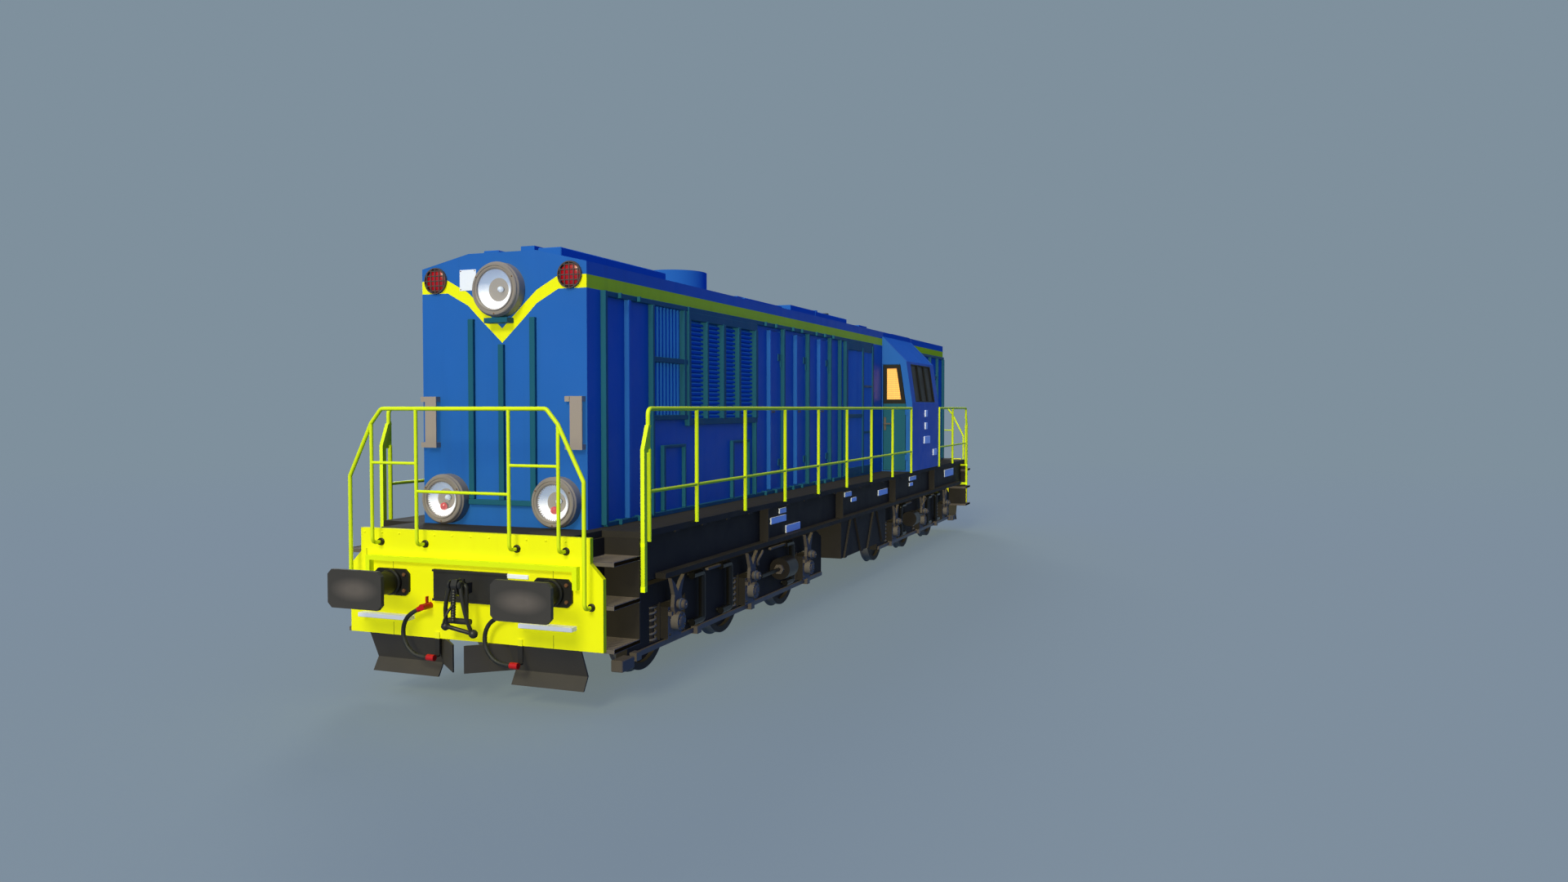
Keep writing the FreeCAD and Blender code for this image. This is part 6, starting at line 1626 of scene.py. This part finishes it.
def cushion(name, middle, half, material):
    # superellipsoid: half * sign * |cos|^e, |sin|^e of two angles, with two sewn lines pressed in
    sides, rings = quilt["sides"], quilt["rings"]
    u = np.arange(sides) * 2 * math.pi / sides
    v = np.linspace(-math.pi / 2, math.pi / 2, rings)
    power = lambda value, e: np.sign(value) * np.abs(value) ** e
    c, w = power(np.cos(v), 0.42)[:, None], power(np.sin(v), 0.55)[:, None]
    across = np.stack([c * power(np.cos(u), 0.38), c * power(np.sin(u), 0.38), w + 0 * u], axis=-1)
    thin = int(np.argmin(half))
    long, wide = [k for k in range(3) if k != thin]
    points = np.empty_like(across)
    points[..., [long, wide, thin]] = across
    seam = np.exp(-((np.abs(points[..., wide]) - quilt["seam"]) / quilt["seamWide"]) ** 2)
    points[..., thin] *= 1 - quilt["seamDeep"] * seam
    belt = np.exp(-(points[..., thin] / quilt["beltWide"]) ** 2)
    points[..., long] *= 1 - quilt["beltDeep"] * belt
    points[..., wide] *= 1 - quilt["beltDeep"] * belt
    verts = np.array(middle) + points * np.array(half)
    # the first and last ring shrink to one point each
    count = rings - 2
    start, last = count * sides, count * sides + 1
    verts = np.vstack([verts[1:-1].reshape(-1, 3), verts[0].mean(axis=0), verts[-1].mean(axis=0)])
    faces = ringFaces(1, count, sides, caps=False)
    faces += [[start, (k + 1) % sides, k] for k in range(sides)]
    faces += [[last, (count - 1) * sides + k, (count - 1) * sides + (k + 1) % sides]
              for k in range(sides)]
    addMesh(name, verts, faces, material, sharp=70.0)


def makeVinyl():
    material, tree, shader = newMaterial("seatVinyl")
    coords = objectCoords(tree)
    grain = noise(tree, coords, 320.0, 4.0)
    worn = noise(tree, coords, 9.0, 4.0)
    wire(tree, pick(tree, ramp(tree, worn, 0.4, 0.7), tone(44, 44, 48), tone(58, 57, 58)),
         shader.inputs["Base Color"])
    wire(tree, ramp(tree, worn, 0.3, 0.7, 0.48, 0.62), shader.inputs["Roughness"])
    addRelief(tree, shader, grain, 0.0008)
    return material


def makeSeats():
    low, high = corner("cab_seats")
    materials["vinyl"] = makeVinyl()
    x, y, top = (low[0] + high[0]) / 2, high[1] - seats["inset"], low[2] + seats["high"]
    posts = [(x + seats["shift"], side * y, low[2]) for side in (1, -1)]
    legs = turned("seat_legs", seats["post"], posts, [0, 0, 1], materials["iron"], around=32)
    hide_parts("cab_seats")
    rows = []
    for side, label in ((1, "left"), (-1, "right")):
        cushion("seat_pad_" + label, (x + seats["shift"], side * y, top + seats["padRise"]),
                seats["pad"], materials["vinyl"])
        cushion("seat_back_" + label, (x - seats["backShift"], side * y, top + seats["backRise"]),
                seats["back"], materials["vinyl"])
        rows += [(x + x0, x + x1, side * y - half, side * y + half, top + z0, top + z1)
                 for x0, x1, half, z0, z1 in seats["shells"]]
    blocks("seat_shells", rows, materials["iron"], cut=0.005)


desk = {"dialIn": 0.16, "dialY": (-0.40, -0.24, -0.08, 0.08, 0.24), "leverIn": 0.10,
        "leverY": (-0.60, 0.45, 0.58), "leverLean": (0.25, 0, 1),
        "dial": [(0.058, 0.0), (0.058, 0.012), (0.050, 0.016), (0.048, 0.010), (0.002, 0.010)],
        "rim": [(0.056, 0.0), (0.064, 0.0), (0.064, 0.014), (0.058, 0.020), (0.056, 0.016)],
        "lever": [(0.030, 0.0), (0.028, 0.018), (0.010, 0.024), (0.008, 0.10), (0.020, 0.112),
                  (0.022, 0.130), (0.010, 0.145), (0.001, 0.148)]}


def makeDesk():
    low, high = corner("cab_desk")
    spots = [(low[0] + desk["dialIn"], y, high[2]) for y in desk["dialY"]]
    turned("desk_dials", desk["dial"], spots, [0, 0, 1], materials["plate"], around=28)
    turned("desk_rims", desk["rim"][::-1], spots, [0, 0, 1], materials["black"],
           around=28, closed=True)
    spots = [(low[0] + desk["leverIn"], y, high[2]) for y in desk["leverY"]]
    turned("desk_levers", desk["lever"], spots, desk["leverLean"], materials["black"], around=20,
           sharp=60)


makeSeats()
makeDesk()
print("cab inside done")

# finishes of the frame's own nodes
finishes = {
    "hood": ["hood_side_left", "hood_side_right", "hood_front"]
            + ["engine_door_%s_%d" % (side, k) for side in ("left", "right") for k in (1, 2, 3)],
    "hoodRoof": ["hood_roof", "rear_hood"], "roof": ["cab_roof", "roof_fittings", "fan_cowl"],
    "louvres": ["hood_louvres"],
    "cab": ["cab_front_wall", "cab_rear_wall", "cab_sides"],
    "cabDoor": ["cab_door_front", "cab_door_rear"],
    "glass": ["cab_windows"], "desk": ["cab_desk", "cab_seats"], "engine": ["engine_block"],
    "headstocks": ["headstocks"], "shadeTintedYellow": ["side_railings", "end_railings"], "deck": ["deck"],
    "frame": ["centre_sill", "side_sills", "fuel_tank", "battery_boxes"], "buffers": ["buffers"],
    "iron": ["draw_hooks", "screw_couplings", "roof_fan"], "blade": ["snow_ploughs"],
    "steps": ["corner_steps"], "grab": ["grab_handles"],
    "lampShell": ["headlamps"], "fittings": ["hose_fittings"],
    "bogie": ["bogie_frame_front", "bogie_frame_rear", "traction_motors_front",
              "traction_motors_rear"],
    "axleboxes": ["axleboxes_front", "axleboxes_rear"],
    "brakes": ["brake_gear_front", "brake_gear_rear"], "rubber": hoseNodes,
}


def giveFinish(node, material):
    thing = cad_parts[node]
    if not thing.material_slots:
        thing.data.materials.append(material)
    for slot in thing.material_slots:
        slot.material = material


done = set()
for finish, nodes in finishes.items():
    for node in nodes:
        giveFinish(node, materials[finish])
        done.add(node)
for k in range(6):
    node = "wheelset_%d" % (k + 1)
    giveFinish(node, makeWheelMaterial("wheel_%d" % (k + 1), axles[k]))
    done.add(node)
print("nodes without a finish:", sorted(set(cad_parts) - done))


# studio
def makeStudio():
    size = studio["floorHalf"]
    mesh = bpy.data.meshes.new("studio_floor")
    mesh.from_pydata([(-size, -size, 0), (size, -size, 0), (size, size, 0), (-size, size, 0)], [],
                     [(0, 1, 2, 3)])
    floor = bpy.data.objects.new("studio_floor", mesh)
    scene.collection.objects.link(floor)
    material, tree, shader = newMaterial("studioFloor")
    plain, bounce = seenDirectly(tree), (*studio["bounce"], 1)
    wire(tree, pick(tree, plain, bounce, (*studio["floor"], 1)), shader.inputs["Base Color"])
    shader.inputs["Roughness"].default_value = 0.95
    shader.inputs["Specular IOR Level"].default_value = 0.0
    far = tree.nodes.new("ShaderNodeEmission")
    wire(tree, pick(tree, plain, bounce, (*studio["backdrop"], 1)), far.inputs[0])
    away = radial(tree, *objectAxes(tree)[:2])
    fade = ramp(tree, away, studio["fadeStart"], studio["fadeEnd"], studio["fadeNear"])
    blendShaders(tree, fade, shader, far, "Material Output")
    floor.data.materials.append(material)
    world = bpy.data.worlds.new("studio")
    scene.world = world
    world.use_nodes = True
    tree = world.node_tree
    back = tree.nodes["Background"]
    back.inputs[0].default_value = (*studio["fill"], 1)
    back.inputs[1].default_value = studio["fillStrength"]
    seen = tree.nodes.new("ShaderNodeBackground")
    seen.inputs[0].default_value = (*studio["backdrop"], 1)
    blendShaders(tree, seenDirectly(tree), back, seen, "World Output")
    makeSun("key_sun", studio["key"], studio["keyStrength"], studio["keyFrom"])
    makeSun("open_sun", studio["open"], studio["openStrength"], studio["openFrom"], False)
    makeSun("back_sun", studio["back"], studio["backStrength"], studio["backFrom"])


makeStudio()
scene.view_settings.view_transform = "Standard"
